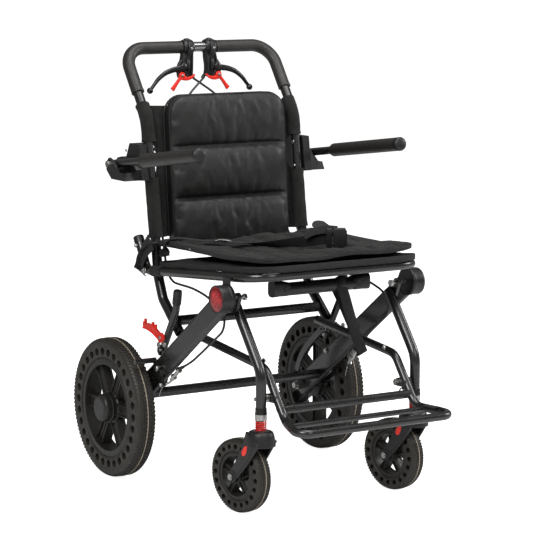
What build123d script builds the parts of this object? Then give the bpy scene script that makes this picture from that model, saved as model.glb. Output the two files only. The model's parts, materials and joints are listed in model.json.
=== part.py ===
"""Folding transport wheelchair: small rear wheels, sprung front casters, fold-down back.

Millimetres, +Z up, -Y is the chair's front, +X is the sitter's left.  The origin is on the
floor, below the middle of the bounding box.  Side views are drawn in (y, z) pairs, where y
is measured from the rear axle.
"""

from math import cos, hypot, radians, sin
import os

from build123d import *

os.makedirs("parts", exist_ok=True)

# ---- driving dimensions -------------------------------------------------------------
AXLE_Y = 242.75  # the rear axle's place in the part's own frame
FIT = 0.05  # radial running clearance of a pin in its bore
GAP = 0.5  # side gap between neighbouring plates and tubes
WALL = 1.5  # frame tube wall

REAR_WHEEL_R = 152.5
REAR_WHEEL_X = 274.0
REAR_TYRE_WIDTH = 43.0
REAR_RIM_R = 108.0
REAR_AXLE_R = 6.0
CASTER_WHEEL_R = 76.5
CASTER_TYRE_WIDTH = 34.0
CASTER_RIM_R = 50.0
CASTER_TRAIL = 60.0
CASTER_REST_ANGLE = 10.0  # both casters stand turned a little to one side
CASTER_AXLE_R = 4.0
STEM_X = 195.0
STEM_Y = -484.0
STEM_R = 6.0
LEG_BOTTOM_Z = 216.0
SPRING_TOP_Z = 204.0
FORK_TOP_Z = 180.0

TUBE_R = 11.0  # legs, posts and cross tubes
RAIL_R = 10.0  # seat frame
LINK_R = 9.0  # footrest and its links
POST_X = 192.0
RAIL_X = POST_X + TUBE_R + GAP + RAIL_R
BAR_X = RAIL_X + RAIL_R + GAP  # inner face of the flat rear bars
BAR_THICK = 16.0
BAR_HEIGHT = 50.0
LINK_X = 164.0
PIN_R = 4.0

# pivots in the side view, (y from the rear axle, z)
HUB = (-404.0, 448.0)
BACK_PIVOT = (-52.0, 460.0)
POST_END = (-150.0, 333.0)
FOOTREST_PIVOT = (-476.0, 246.0)
REAR_AXLE = (0.0, REAR_WHEEL_R)
ARMREST_PIVOT = (42.0, 688.0)
BRAKE_PIVOT = (-145.0, 260.0)
SIDE_LEVER_PIVOT = (-115.0, 292.0)
CLIP_PIVOT = (-128.0, 323.0)

HANDLE = (100.0, 936.0)  # top bar of the push handle
HANDLE_CORNER_R = 50.0
GRIP_R = 14.0
CLAMP_X = 29.0
CLAMP_WIDTH = 26.0

nodes = []


def save(part, label):
    """Name a finished piece and write it."""
    part.label = label
    export_step(part, f"parts/{label}.step")
    nodes.append(label)


def side_plane(x):
    """The side view at a given x: local x is +Y from the rear axle, local y is +Z."""
    return Plane(origin=(x, AXLE_Y, 0), x_dir=(0, 1, 0), z_dir=(1, 0, 0))


def at(x, y, z):
    """A point from its distance behind the rear axle."""
    return (x, AXLE_Y + y, z)


def both_sides(part):
    """A piece and its mirror image, as one group."""
    return Compound(children=[part, mirror(part, about=Plane.YZ)])


def save_pair(part, label):
    """The sitter's left piece, and its mirror image on the right."""
    save(part, f"{label}_left")
    save(mirror(part, about=Plane.YZ), f"{label}_right")


def sweep_tube(points, bends, radius, wall=0.0):
    """A round bar or tube along straight runs joined by tangent arcs."""
    with BuildPart() as tube:
        with BuildLine() as path:
            if len(points) > 2:
                FilletPolyline(*points, radius=bends)
            else:
                Line(*points)
        with BuildSketch(Plane(path.line @ 0, z_dir=path.line % 0)):
            Circle(radius)
            if wall:
                Circle(radius - wall, mode=Mode.SUBTRACT)
        sweep(path=path.line)
    return tube.part


def cross_pin(pivot, x_low, x_high, radius):
    """A round pin along X at a side-view pivot."""
    with BuildPart() as pin:
        with BuildSketch(side_plane(x_low)):
            with Locations(pivot):
                Circle(radius)
        extrude(amount=x_high - x_low)
    return pin.part


def hex_head(pivot, x_low, x_high, across_flats):
    """A hexagonal head or nut along X."""
    with BuildPart() as head:
        with BuildSketch(side_plane(x_low)):
            with Locations(pivot):
                RegularPolygon(across_flats / 2, 6, major_radius=False)
        extrude(amount=x_high - x_low)
    return head.part


# ---- rear wheels --------------------------------------------------------------------
def wheel_plane(x, y, z):
    """A radial section plane of a wheel: local x runs along the axle, local y outward."""
    return Plane(origin=at(x, y, z), x_dir=(1, 0, 0), z_dir=(0, -1, 0))


def make_tyre(x, y, z, outer_r, inner_r, width, shoulder, hole_ring_r, hole_r, holes):
    """A solid tyre with a ring of blind holes in each sidewall."""
    hole_depth = 0.35 * width
    with BuildPart() as tyre:
        with BuildSketch(wheel_plane(x, y, z)) as section:
            with Locations((0, (outer_r + inner_r) / 2)):
                Rectangle(width, outer_r - inner_r)
            fillet(section.vertices().group_by(Axis.Z)[-1], shoulder)
        revolve(axis=Axis(at(x, y, z), (1, 0, 0)))
        for face_x in (x - width / 2, x + width / 2 - hole_depth):
            with BuildSketch(Plane(origin=at(face_x, y, z), x_dir=(0, 1, 0), z_dir=(1, 0, 0))):
                with PolarLocations(hole_ring_r, holes):
                    Circle(hole_r)
            extrude(amount=hole_depth, mode=Mode.SUBTRACT)
    return tyre.part


def make_rim(
    x, y, z, rim_r, well_r, width, spokes, first_spoke, spoke_width, spoke_thick, hub_r, hub_half, bore_r
):
    """A moulded rim: barrel, bladed spokes and a bored hub."""
    with BuildPart() as rim:
        with BuildSketch(wheel_plane(x, y, z)):
            with Locations((0, (rim_r + well_r) / 2)):
                Rectangle(width, rim_r - well_r)
            with Locations((0, hub_r / 2)):
                Rectangle(2 * hub_half, hub_r)
        revolve(axis=Axis(at(x, y, z), (1, 0, 0)))
        web = Plane(origin=at(x - spoke_thick / 2, y, z), x_dir=(0, 1, 0), z_dir=(1, 0, 0))
        with BuildSketch(web):
            with PolarLocations(0, spokes, start_angle=first_spoke):
                with Locations((well_r / 2 + hub_r / 4, 0)):
                    Rectangle(well_r - hub_r / 2 + 2, spoke_width)
        extrude(amount=spoke_thick)
        with BuildSketch(web.offset(spoke_thick / 2 - hub_half)):
            Circle(bore_r)
        extrude(amount=2 * hub_half, mode=Mode.SUBTRACT)
    return rim.part


rear_tyre = make_tyre(
    REAR_WHEEL_X, *REAR_AXLE, REAR_WHEEL_R, REAR_RIM_R, REAR_TYRE_WIDTH,
    shoulder=9, hole_ring_r=125, hole_r=8.5, holes=30,
)
save_pair(rear_tyre, "rear_tyre")

HUB_HALF = 19.0
HUB_CAP_R = 30.0
HUB_CAP_FACE_X = 311.0  # outermost point of the chair
AXLE_TIP_X = 300.0


def make_rear_rim(first_spoke):
    """The sitter's left rear rim, with its hub cap over the axle's end."""
    cap_x = REAR_WHEEL_X + HUB_HALF
    with BuildPart() as rim:
        add(make_rim(
            REAR_WHEEL_X, *REAR_AXLE, REAR_RIM_R, well_r=97, width=38, spokes=6, first_spoke=first_spoke,
            spoke_width=26, spoke_thick=14, hub_r=HUB_CAP_R, hub_half=HUB_HALF, bore_r=REAR_AXLE_R + FIT,
        ))
        with BuildSketch(side_plane(cap_x)):
            with Locations(REAR_AXLE):
                Circle(HUB_CAP_R)
        extrude(amount=HUB_CAP_FACE_X - cap_x)
        fillet(rim.faces().sort_by(Axis.X)[-1].edges(), 8)
        with BuildSketch(side_plane(cap_x)):
            with Locations(REAR_AXLE):
                Circle(REAR_AXLE_R + FIT)
        extrude(amount=AXLE_TIP_X + 1 - cap_x, mode=Mode.SUBTRACT)
    return rim.part


save(make_rear_rim(first_spoke=90), "rear_rim_left")
save(mirror(make_rear_rim(first_spoke=0), about=Plane.YZ), "rear_rim_right")

with BuildPart() as rear_axle:
    add(cross_pin(REAR_AXLE, BAR_X - 18, AXLE_TIP_X, REAR_AXLE_R))
    add(hex_head(REAR_AXLE, BAR_X - 14, BAR_X, 19))
    add(cross_pin(REAR_AXLE, BAR_X + BAR_THICK, REAR_WHEEL_X - 20, 10))
save(both_sides(rear_axle.part), "rear_axles")

# ---- rear frame ---------------------------------------------------------------------
BAR_LENGTH = hypot(HUB[0] - REAR_AXLE[0], HUB[1] - REAR_AXLE[1])
BAR_MID = ((HUB[0] + REAR_AXLE[0]) / 2, (HUB[1] + REAR_AXLE[1]) / 2)
HUB_R = 29.0

with BuildPart() as rear_bar:
    bar_axis = Line(at(BAR_X, *HUB), at(BAR_X, *REAR_AXLE), mode=Mode.PRIVATE)
    bar_plane = Plane(origin=at(BAR_X, *BAR_MID), x_dir=bar_axis % 0, z_dir=(1, 0, 0))
    with BuildSketch(bar_plane):
        SlotCenterToCenter(BAR_LENGTH, BAR_HEIGHT)
    extrude(amount=BAR_THICK)
    fillet(rear_bar.faces().filter_by(Axis.X).edges(), BAR_THICK / 2 - 1)
    with BuildSketch(bar_plane.offset(WALL)):
        with Locations((-BAR_HEIGHT / 2, 0)):
            SlotCenterToCenter(BAR_LENGTH - BAR_HEIGHT, BAR_HEIGHT - BAR_THICK)
    extrude(amount=BAR_THICK - 2 * WALL, mode=Mode.SUBTRACT)
    with BuildSketch(side_plane(BAR_X)):
        with Locations(HUB):
            Circle(HUB_R + 0.3)
        with Locations(REAR_AXLE):
            Circle(REAR_AXLE_R + FIT / 2)
    extrude(amount=BAR_THICK, mode=Mode.SUBTRACT)
save_pair(rear_bar.part, "rear_bar")

LOWER_TUBE = (-65.0, 188.0)
with BuildPart() as lower_cross_tube:
    with BuildSketch(side_plane(-BAR_X)):
        with Locations(LOWER_TUBE):
            Circle(TUBE_R)
            Circle(TUBE_R - WALL, mode=Mode.SUBTRACT)
    extrude(amount=2 * BAR_X)
save(lower_cross_tube.part, "lower_cross_tube")

BRACE_X = LINK_X + LINK_R + 1
BRACE_THICK = 6.0
brace_points = [(-153, 310), (-106, 273), (-76, 243), (-55, 206)]
with BuildPart() as brace_bar:
    with BuildSketch(side_plane(BRACE_X)) as brace_outline:
        with BuildLine():
            Spline(*brace_points)
        trace(line_width=15)
        with Locations(brace_points[0], brace_points[-1]):
            Circle(8)
        with Locations(brace_points[0]):
            Circle(3, mode=Mode.SUBTRACT)
        with Locations(LOWER_TUBE):
            Circle(TUBE_R + 0.1, mode=Mode.SUBTRACT)
    extrude(amount=BRACE_THICK)
save(both_sides(brace_bar.part), "brace_bars")

RAIL_STUB = (-5.0, 527.0)
RAIL_REAR = (-44.0, 459.0)
RAIL_FRONT = (-478.0, 498.0)
rail_side = [RAIL_STUB, RAIL_REAR, RAIL_FRONT]
rail_left = [at(RAIL_X, *p) for p in rail_side]
rail_right = [at(-RAIL_X, *p) for p in reversed(rail_side)]
seat_tube = sweep_tube(rail_left + rail_right, [28, 60, 60, 28], RAIL_R, WALL)
with BuildPart() as seat_frame:
    add(seat_tube)
    for end_x in (-RAIL_X - RAIL_R, RAIL_X - RAIL_R):
        with BuildSketch(side_plane(end_x)):
            with Locations(BACK_PIVOT):
                Circle(PIN_R + 0.02)
        extrude(amount=2 * RAIL_R, mode=Mode.SUBTRACT)
save(seat_frame.part, "seat_frame")

HUB_FACE_X = 250.0
with BuildPart() as hub_housing:
    with BuildSketch(side_plane(BAR_X + 1)):
        with Locations(HUB):
            Circle(HUB_R)
    extrude(amount=HUB_FACE_X - BAR_X - 1)
    fillet(hub_housing.faces().sort_by(Axis.X)[-1].edges(), 2)
    with BuildSketch(side_plane(BAR_X + 1)):
        with Locations((HUB[0] + 4, HUB[1] + 22)):
            Rectangle(24, 44)
    extrude(amount=5)
    with BuildSketch(side_plane(BAR_X)):
        with Locations(HUB):
            Circle(PIN_R + 0.02)
    extrude(amount=14, mode=Mode.SUBTRACT)
save(both_sides(hub_housing.part), "hub_housings")

save(both_sides(cross_pin(HUB, HUB_FACE_X, HUB_FACE_X + 5, 25.5)), "hub_reflectors")

with BuildPart() as frame_bolts:
    add(cross_pin(HUB, STEM_X - 6, BAR_X + 13, PIN_R))
    add(hex_head(HUB, STEM_X - 12, STEM_X - 6, 13))
with BuildPart() as back_bolts:
    add(cross_pin(BACK_PIVOT, POST_X - TUBE_R - 2, RAIL_X + RAIL_R + 2, PIN_R))
    add(hex_head(BACK_PIVOT, POST_X - TUBE_R - 7, POST_X - TUBE_R - 1, 13))
pivot_bolts = [frame_bolts.part, back_bolts.part]
pivot_bolts += [mirror(bolt, about=Plane.YZ) for bolt in pivot_bolts]
save(Compound(children=pivot_bolts), "frame_pivot_bolts")

# ---- seat ---------------------------------------------------------------------------
SEAT_HALF = 212.0


def side_profile(points, x_low, x_high):
    """A closed side-view outline, extruded across the chair."""
    with BuildPart() as solid:
        with BuildSketch(side_plane(x_low)):
            Polygon(*points, align=None)
        extrude(amount=x_high - x_low)
    return solid.part


sling_outline = [(-84, 473.2), (-494, 510.1), (-494, 520), (-90, 485)]
save(side_profile(sling_outline, -SEAT_HALF, SEAT_HALF), "seat_sling")

cushion_outline = [
    (-93, 486.5), (-446, 517.5), (-480, 521), (-486, 536), (-446, 543), (-330, 527), (-119, 524),
]
with BuildPart() as seat_cushion:
    add(side_profile(cushion_outline, -SEAT_HALF, SEAT_HALF))
    fillet(seat_cushion.edges().filter_by(Axis.X), 5)
save(seat_cushion.part, "seat_cushion")

CARRY = (-405.0, 456.0)
with BuildPart() as carry_handle:
    add(cross_pin(CARRY, -108, 108, 12))
    for block_x in (-121, 105):
        with BuildSketch(side_plane(block_x)) as end_block:
            with Locations((CARRY[0], CARRY[1] + 14.5)):
                Rectangle(26, 57)
            fillet(end_block.vertices(), 5)
        extrude(amount=16)
save(carry_handle.part, "carry_handle")

STRAP_THICK = 2.5
with BuildPart() as pull_strap:
    with BuildSketch(Plane.XZ.offset(-(AXLE_Y + CARRY[0] + STRAP_THICK / 2))):
        Polygon((38, 443), (64, 443), (122, 309), (98, 303), align=None)
    extrude(amount=STRAP_THICK)
save(pull_strap.part, "pull_strap")

BELT_Y = -146.0
BELT_WIDTH = 25.0
BELT_Z = 527.5
with BuildPart() as lap_belt:
    with BuildSketch(Plane.XY.offset(BELT_Z)):
        with Locations(at(-160, BELT_Y, 0)[:2]):
            Rectangle(90, BELT_WIDTH)
        with Locations(at(165, BELT_Y, 0)[:2]):
            Rectangle(80, BELT_WIDTH)
    extrude(amount=2.5)
save(lap_belt.part, "lap_belt")

with BuildPart() as belt_buckle:
    with BuildSketch(Plane.XY.offset(BELT_Z)):
        with Locations(at(98, BELT_Y, 0)[:2]):
            RectangleRounded(52, 40, 6)
    extrude(amount=14)
    fillet(belt_buckle.faces().sort_by(Axis.Z)[-1].edges(), 3)
save(belt_buckle.part, "belt_buckle")

# ---- back frame ---------------------------------------------------------------------
POST_KNEE = (-3.0, 790.0)
POST_LOW = (-55.0, 446.0)
post_side = [POST_END, (-76, 398), POST_LOW, POST_KNEE, HANDLE]
posts_up = [at(POST_X, *p) for p in post_side]
posts_down = [at(-POST_X, *p) for p in reversed(post_side)]
post_bends = [30, 60, 70, HANDLE_CORNER_R, HANDLE_CORNER_R, 70, 60, 30]
handle_tube = sweep_tube(posts_up + posts_down, post_bends, TUBE_R, WALL)
with BuildPart() as handle_frame:
    add(handle_tube)
    for end_x in (-POST_X - TUBE_R, POST_X - TUBE_R):
        with BuildSketch(side_plane(end_x)):
            with Locations(BACK_PIVOT):
                Circle(PIN_R + FIT)
        extrude(amount=2 * TUBE_R, mode=Mode.SUBTRACT)
save(handle_frame.part, "handle_frame")

UPPER_TUBE = (-125.0, 356.5)
with BuildPart() as upper_cross_tube:
    with BuildSketch(side_plane(-POST_X + TUBE_R)):
        with Locations(UPPER_TUBE):
            Circle(TUBE_R)
            Circle(TUBE_R - WALL, mode=Mode.SUBTRACT)
    extrude(amount=2 * (POST_X - TUBE_R))
save(upper_cross_tube.part, "upper_cross_tube")

PAD_LOW = (-60.0, 510.0)  # lower front edge of the back pad
PAD_HIGH = (-30.0, 836.0)
PAD_THICK = 30.0
PAD_HALF = 144.0
PAD_HEIGHT = hypot(PAD_HIGH[0] - PAD_LOW[0], PAD_HIGH[1] - PAD_LOW[1])
pad_up = Vector(0, PAD_HIGH[0] - PAD_LOW[0], PAD_HIGH[1] - PAD_LOW[1]).normalized()
pad_middle = at(0, (PAD_LOW[0] + PAD_HIGH[0]) / 2, (PAD_LOW[1] + PAD_HIGH[1]) / 2)
pad_plane = Plane(origin=pad_middle, x_dir=(1, 0, 0), z_dir=Vector(1, 0, 0).cross(pad_up))
with BuildPart() as back_pad:
    with BuildSketch(pad_plane):
        RectangleRounded(2 * PAD_HALF, PAD_HEIGHT, 40)
    extrude(amount=-PAD_THICK)
    fillet(back_pad.faces().sort_by(SortBy.AREA)[-2:].edges(), 6)
save(back_pad.part, "back_pad")

SLING_LOW_Z = 526.0
SLING_HIGH_Z = 785.0
SLING_THICK = 3.0


def on_line(low, high, z):
    """The y of a straight side-view line at a height."""
    return low[0] + (high[0] - low[0]) * (z - low[1]) / (high[1] - low[1])


with BuildPart() as back_sling:
    for z in (SLING_LOW_Z, SLING_HIGH_Z):
        post_y = AXLE_Y + on_line(POST_LOW, POST_KNEE, z)
        panel_y = AXLE_Y + on_line(PAD_LOW, PAD_HIGH, z) + PAD_THICK + 1.5
        edge_x = POST_X - TUBE_R - GAP
        with BuildSketch(Plane.XY.offset(z)):
            Polygon(
                (-edge_x, post_y), (-150, panel_y), (150, panel_y), (edge_x, post_y),
                (edge_x, post_y + SLING_THICK), (150, panel_y + SLING_THICK),
                (-150, panel_y + SLING_THICK), (-edge_x, post_y + SLING_THICK), align=None,
            )
    loft(ruled=True)
save(back_sling.part, "back_sling")

GRIP_LOW_Z = 843.0
GRIP_END_X = 46.0
with BuildPart() as handle_grip:
    with BuildLine() as grip_path:
        FilletPolyline(
            at(POST_X, on_line(POST_KNEE, HANDLE, GRIP_LOW_Z), GRIP_LOW_Z),
            at(POST_X, *HANDLE), at(GRIP_END_X, *HANDLE), radius=HANDLE_CORNER_R,
        )
    with BuildSketch(Plane(grip_path.line @ 0, z_dir=grip_path.line % 0)):
        Circle(GRIP_R)
        Circle(TUBE_R + 0.1, mode=Mode.SUBTRACT)
    sweep(path=grip_path.line)
save(both_sides(handle_grip.part), "handle_grips")

# ---- hand brake levers --------------------------------------------------------------
LEVER_Y = 84.0  # front face of the blade
BLADE_THICK = 7.5
HOUSING_Y = LEVER_Y + BLADE_THICK + GAP
HOUSING_DEPTH = 16.0
HAND_PIVOT = (44.0, 893.0)  # (x, z)
PARK_PIVOT = (48.0, 873.0)


def front_plane(y):
    """A front view at a distance behind the rear axle: local x is +X, local y is +Z."""
    return Plane(origin=at(0, y, 0), x_dir=(1, 0, 0), z_dir=(0, -1, 0))


with BuildPart() as lever_housing:
    with BuildSketch(side_plane(CLAMP_X - CLAMP_WIDTH / 2)):
        with Locations(HANDLE):
            Circle(16)
    extrude(amount=CLAMP_WIDTH)
    with BuildSketch(front_plane(HOUSING_Y)) as housing_outline:
        with BuildLine():
            Polyline((22, 930), (40, 930), (54, 898), (54, 870), (38, 866), (10, 871), (10, 884))
            Line((10, 884), (22, 930))
        make_face()
        fillet(housing_outline.vertices().group_by(Axis.Z)[0], 4)
    extrude(amount=-HOUSING_DEPTH)
    with BuildSketch(side_plane(0)):
        with Locations(HANDLE):
            Circle(TUBE_R + 0.1)
    extrude(amount=2 * CLAMP_X, mode=Mode.SUBTRACT)
    with BuildSketch(front_plane(HOUSING_Y)):
        with Locations(HAND_PIVOT, PARK_PIVOT):
            Circle(3)
    extrude(amount=BLADE_THICK + 4)
save(both_sides(lever_housing.part), "brake_lever_housings")

BALL = (132.0, 841.0)
with BuildPart() as hand_lever:
    with BuildSketch(front_plane(HOUSING_Y - GAP)):
        with BuildLine():
            ThreePointArc(HAND_PIVOT, (90, 857), BALL)
        trace(line_width=9)
        with Locations(HAND_PIVOT):
            Circle(8)
        with Locations(BALL):
            Circle(6.5)
        with Locations(HAND_PIVOT):
            Circle(3 + FIT, mode=Mode.SUBTRACT)
    extrude(amount=BLADE_THICK)
save_pair(hand_lever.part, "hand_brake_lever")

with BuildPart() as park_lock:
    with BuildSketch(front_plane(HOUSING_Y - GAP)):
        with BuildLine():
            Line(PARK_PIVOT, (72, 846))
        trace(line_width=8)
        with Locations(PARK_PIVOT):
            Circle(6)
        with Locations((72, 846)):
            Circle(4.5)
        with Locations(PARK_PIVOT):
            Circle(3 + FIT, mode=Mode.SUBTRACT)
    extrude(amount=BLADE_THICK)
save_pair(park_lock.part, "park_lock_lever")

# ---- armrests -----------------------------------------------------------------------
ARM_TUBE_R = 9.0
ARM_X = 245.0
ARM_PAD_R = 15.0
ARM_TIP = (255.0, -336.0, 740.0)
ARM_PAD_REAR = 0.34  # share of the arm's length that is left bare behind the sleeve
EAR_THICK = 6.0
EAR_INNER_X = ARM_X + ARM_TUBE_R + 2  # the arms splay outwards a little

arm_start = Vector(*at(ARM_X, *ARMREST_PIVOT))
arm_end = Vector(*at(*ARM_TIP))
arm_line = arm_end - arm_start


def arm_tube(start, end, radius, wall):
    """A straight round tube between two points."""
    return sweep_tube([tuple(start), tuple(end)], None, radius, wall)


with BuildPart() as armrest_tube:
    add(arm_tube(arm_start + arm_line * 0.02, arm_end - arm_line * 0.015, ARM_TUBE_R, 2))
    with BuildSketch(side_plane(ARM_X - ARM_TUBE_R)):
        with Locations(ARMREST_PIVOT):
            Circle(ARM_TUBE_R)
    extrude(amount=2 * ARM_TUBE_R)
    with BuildSketch(side_plane(ARM_X - ARM_TUBE_R)):
        with Locations(ARMREST_PIVOT):
            Circle(PIN_R + FIT)
    extrude(amount=2 * ARM_TUBE_R, mode=Mode.SUBTRACT)
save_pair(armrest_tube.part, "armrest_tube")

with BuildPart() as armrest_pad:
    add(arm_tube(arm_start + arm_line * ARM_PAD_REAR, arm_end, ARM_PAD_R, 0))
    fillet(armrest_pad.edges().filter_by(GeomType.CIRCLE), 4)
    add(arm_tube(arm_start, arm_end - arm_line * 0.012, ARM_TUBE_R + 0.05, 0), mode=Mode.SUBTRACT)
save_pair(armrest_pad.part, "armrest_pad")

post_core = sweep_tube(
    [at(POST_X, *POST_LOW), at(POST_X, *POST_KNEE)], None, TUBE_R + 0.1
)
BRACKET_KNEE_X = 222.0  # where the bracket steps down from the post to the pivot
with BuildPart() as armrest_bracket:
    with BuildSketch(side_plane(POST_X - TUBE_R + GAP)):
        Polygon((-22, 656), (8, 656), (20, 734), (-10, 734), align=None)
    extrude(amount=TUBE_R - GAP + 15)
    with BuildSketch(side_plane(POST_X + 12)):
        Polygon((-36, 656), (30, 656), (52, 674), (52, 700), (34, 704), (20, 734), (-24, 734), align=None)
    extrude(amount=BRACKET_KNEE_X - POST_X - 12)
    with BuildSketch(side_plane(BRACKET_KNEE_X)):
        Polygon((-30, 656), (30, 656), (52, 674), (52, 700), (34, 704), (-8, 704), (-34, 680), align=None)
    extrude(amount=ARM_X - ARM_TUBE_R - GAP - BRACKET_KNEE_X)
    with BuildSketch(side_plane(ARM_X - ARM_TUBE_R - GAP)):
        Polygon((-30, 656), (30, 656), (50, 673), (-20, 673), align=None)
    extrude(amount=EAR_INNER_X + EAR_THICK - ARM_X + ARM_TUBE_R + GAP)
    with BuildSketch(side_plane(EAR_INNER_X)):
        Polygon((-20, 660), (30, 656), (52, 674), (54, 690), (42, 702), (30, 698), align=None)
    extrude(amount=EAR_THICK)
    add(post_core, mode=Mode.SUBTRACT)
    with BuildSketch(side_plane(POST_X + TUBE_R + 8)):
        with Locations(ARMREST_PIVOT):
            Circle(PIN_R + 0.02)
    extrude(amount=60, mode=Mode.SUBTRACT)
save(both_sides(armrest_bracket.part), "armrest_brackets")

with BuildPart() as armrest_bolt:
    add(cross_pin(ARMREST_PIVOT, POST_X + TUBE_R + 9, EAR_INNER_X + EAR_THICK, PIN_R))
    add(hex_head(ARMREST_PIVOT, EAR_INNER_X + EAR_THICK, EAR_INNER_X + EAR_THICK + 5, 13))
save(both_sides(armrest_bolt.part), "armrest_pivot_bolts")

# ---- wheel brakes and side levers ---------------------------------------------------
BAR_OUTER_X = BAR_X + BAR_THICK
ARM_PLATE_THICK = 5.0
BRAKE_LOW = (-165.0, 222.0)
BRAKE_HIGH = (-127.0, 275.0)
BRAKE_ROD_R = 6.0
BRAKE_ROD_TIP_X = 292.0
with BuildPart() as brake_arm:
    with BuildSketch(side_plane(BAR_OUTER_X + GAP)):
        with BuildLine():
            Polyline(BRAKE_LOW, BRAKE_PIVOT, BRAKE_HIGH)
        trace(line_width=12)
        with Locations(BRAKE_PIVOT):
            Circle(9)
        with Locations(BRAKE_PIVOT):
            Circle(PIN_R + FIT, mode=Mode.SUBTRACT)
    extrude(amount=ARM_PLATE_THICK)
    with BuildSketch(side_plane(BAR_OUTER_X + GAP)):
        with Locations(BRAKE_HIGH):
            Circle(BRAKE_ROD_R)
    extrude(amount=BRAKE_ROD_TIP_X - BAR_OUTER_X - GAP)
save_pair(brake_arm.part, "brake_arm")

with BuildPart() as brake_bolt:
    add(cross_pin(BRAKE_PIVOT, BAR_OUTER_X, BAR_OUTER_X + ARM_PLATE_THICK + 1, PIN_R))
    add(cross_pin(BRAKE_PIVOT, BAR_OUTER_X + ARM_PLATE_THICK + 1, BAR_OUTER_X + ARM_PLATE_THICK + 4, 7))
ADJUSTER_TOP = (-213.0, 268.0)
ADJUSTER_END = (-184.0, 240.0)
adjuster = sweep_tube(
    [at(BAR_X + 6, *ADJUSTER_TOP), at(BAR_X + 9, *ADJUSTER_END)], None, 4.5
)
cable_ends = [adjuster, brake_bolt.part]
cable_ends += [mirror(piece, about=Plane.YZ) for piece in cable_ends]
save(Compound(children=cable_ends), "cable_adjusters")

SIDE_LEVER_X = BAR_X - GAP - 8.0
side_lever_route = [SIDE_LEVER_PIVOT, (-172, 385), (-180, 430)]
with BuildPart() as side_lever:
    add(sweep_tube([at(SIDE_LEVER_X, *p) for p in side_lever_route], 40, 8))
    with BuildSketch(side_plane(SIDE_LEVER_X - 8)):
        with Locations(SIDE_LEVER_PIVOT):
            Circle(11)
    extrude(amount=16)
    with BuildSketch(side_plane(SIDE_LEVER_X - 8)):
        with Locations(SIDE_LEVER_PIVOT):
            Circle(PIN_R + FIT)
    extrude(amount=16, mode=Mode.SUBTRACT)
save_pair(side_lever.part, "side_lever")

with BuildPart() as fold_clip:
    with BuildSketch(side_plane(-BAR_X - GAP)):
        with BuildLine():
            Polyline(CLIP_PIVOT, (-92, 338), (-53, 341))
        trace(line_width=15)
        with Locations(CLIP_PIVOT):
            Circle(11)
        with Locations((-66, 349)):
            Rectangle(9, 8, mode=Mode.SUBTRACT)
        with Locations(CLIP_PIVOT):
            Circle(3.5, mode=Mode.SUBTRACT)
    extrude(amount=-6)
save(fold_clip.part, "fold_clip")

# ---- front legs ---------------------------------------------------------------------
LEG_TOP = (-383.0, 430.0)
LEG_KNEE = (STEM_Y, 301.0)
LEG_PLATE_THICK = 7.0
leg_points = [at(STEM_X, *LEG_TOP), at(STEM_X, *LEG_KNEE), at(STEM_X, STEM_Y, LEG_BOTTOM_Z)]
leg_tube = sweep_tube(leg_points, 60, TUBE_R, WALL)
with BuildPart() as front_leg:
    add(leg_tube)
    with BuildSketch(side_plane(STEM_X + TUBE_R - LEG_PLATE_THICK)):
        with Locations(HUB):
            Circle(10)
        with Locations((LEG_TOP[0] - 6, LEG_TOP[1] - 10)):
            Circle(12)
        make_hull()
        with Locations(HUB):
            Circle(PIN_R + FIT, mode=Mode.SUBTRACT)
    extrude(amount=LEG_PLATE_THICK)
    with BuildSketch(side_plane(STEM_X - TUBE_R)):
        with Locations(FOOTREST_PIVOT):
            Circle(PIN_R + 0.02)
    extrude(amount=2 * TUBE_R, mode=Mode.SUBTRACT)
save_pair(front_leg.part, "front_leg")

with BuildPart() as stem_collar:
    with BuildSketch(Plane.XY.offset(SPRING_TOP_Z)):
        with Locations(at(STEM_X, STEM_Y, 0)[:2]):
            Circle(12.5)
            Circle(STEM_R + FIT, mode=Mode.SUBTRACT)
    extrude(amount=LEG_BOTTOM_Z - SPRING_TOP_Z)
save(both_sides(stem_collar.part), "stem_collars")

SPACER_X = LINK_X + LINK_R + GAP
with BuildPart() as footrest_bolt:
    add(cross_pin(FOOTREST_PIVOT, LINK_X - LINK_R - 8, STEM_X + TUBE_R, PIN_R))
    add(hex_head(FOOTREST_PIVOT, LINK_X - LINK_R - 7, LINK_X - LINK_R - GAP, 13))
    add(cross_pin(FOOTREST_PIVOT, SPACER_X, STEM_X - TUBE_R, 9))
save(both_sides(footrest_bolt.part), "footrest_pivot_bolts")

# ---- casters ------------------------------------------------------------------------
SPRING_R = 11.0
SPRING_WIRE_R = 1.15
SPRING_TURNS = 5
SPRING_LENGTH = SPRING_TOP_Z - FORK_TOP_Z
FORK_INNER = CASTER_TYRE_WIDTH / 2 + 3
FORK_ARM = 6.0
CROWN_THICK = 20.0
STEM_LENGTH = 68.0
AXLE_HALF = 34.0


def make_stem(x):
    """The steering stem, which slides up into the leg."""
    with BuildPart() as stem:
        with BuildSketch(Plane.XY.offset(FORK_TOP_Z - CROWN_THICK + 2)):
            with Locations(at(x, STEM_Y, 0)[:2]):
                Circle(STEM_R)
        extrude(amount=STEM_LENGTH)
    return stem.part


def make_spring(x):
    """The suspension coil between the leg and the fork."""
    coil_height = SPRING_LENGTH - 2 * SPRING_WIRE_R
    base = Plane(at(x, STEM_Y, FORK_TOP_Z + SPRING_WIRE_R))
    with BuildPart() as spring:
        with BuildLine(base) as coil:
            Helix(coil_height / SPRING_TURNS, coil_height, SPRING_R)
        with BuildSketch(Plane(coil.line @ 0, z_dir=coil.line % 0)):
            Circle(SPRING_WIRE_R)
        sweep(path=coil.line, is_frenet=True)
    return spring.part


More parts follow.
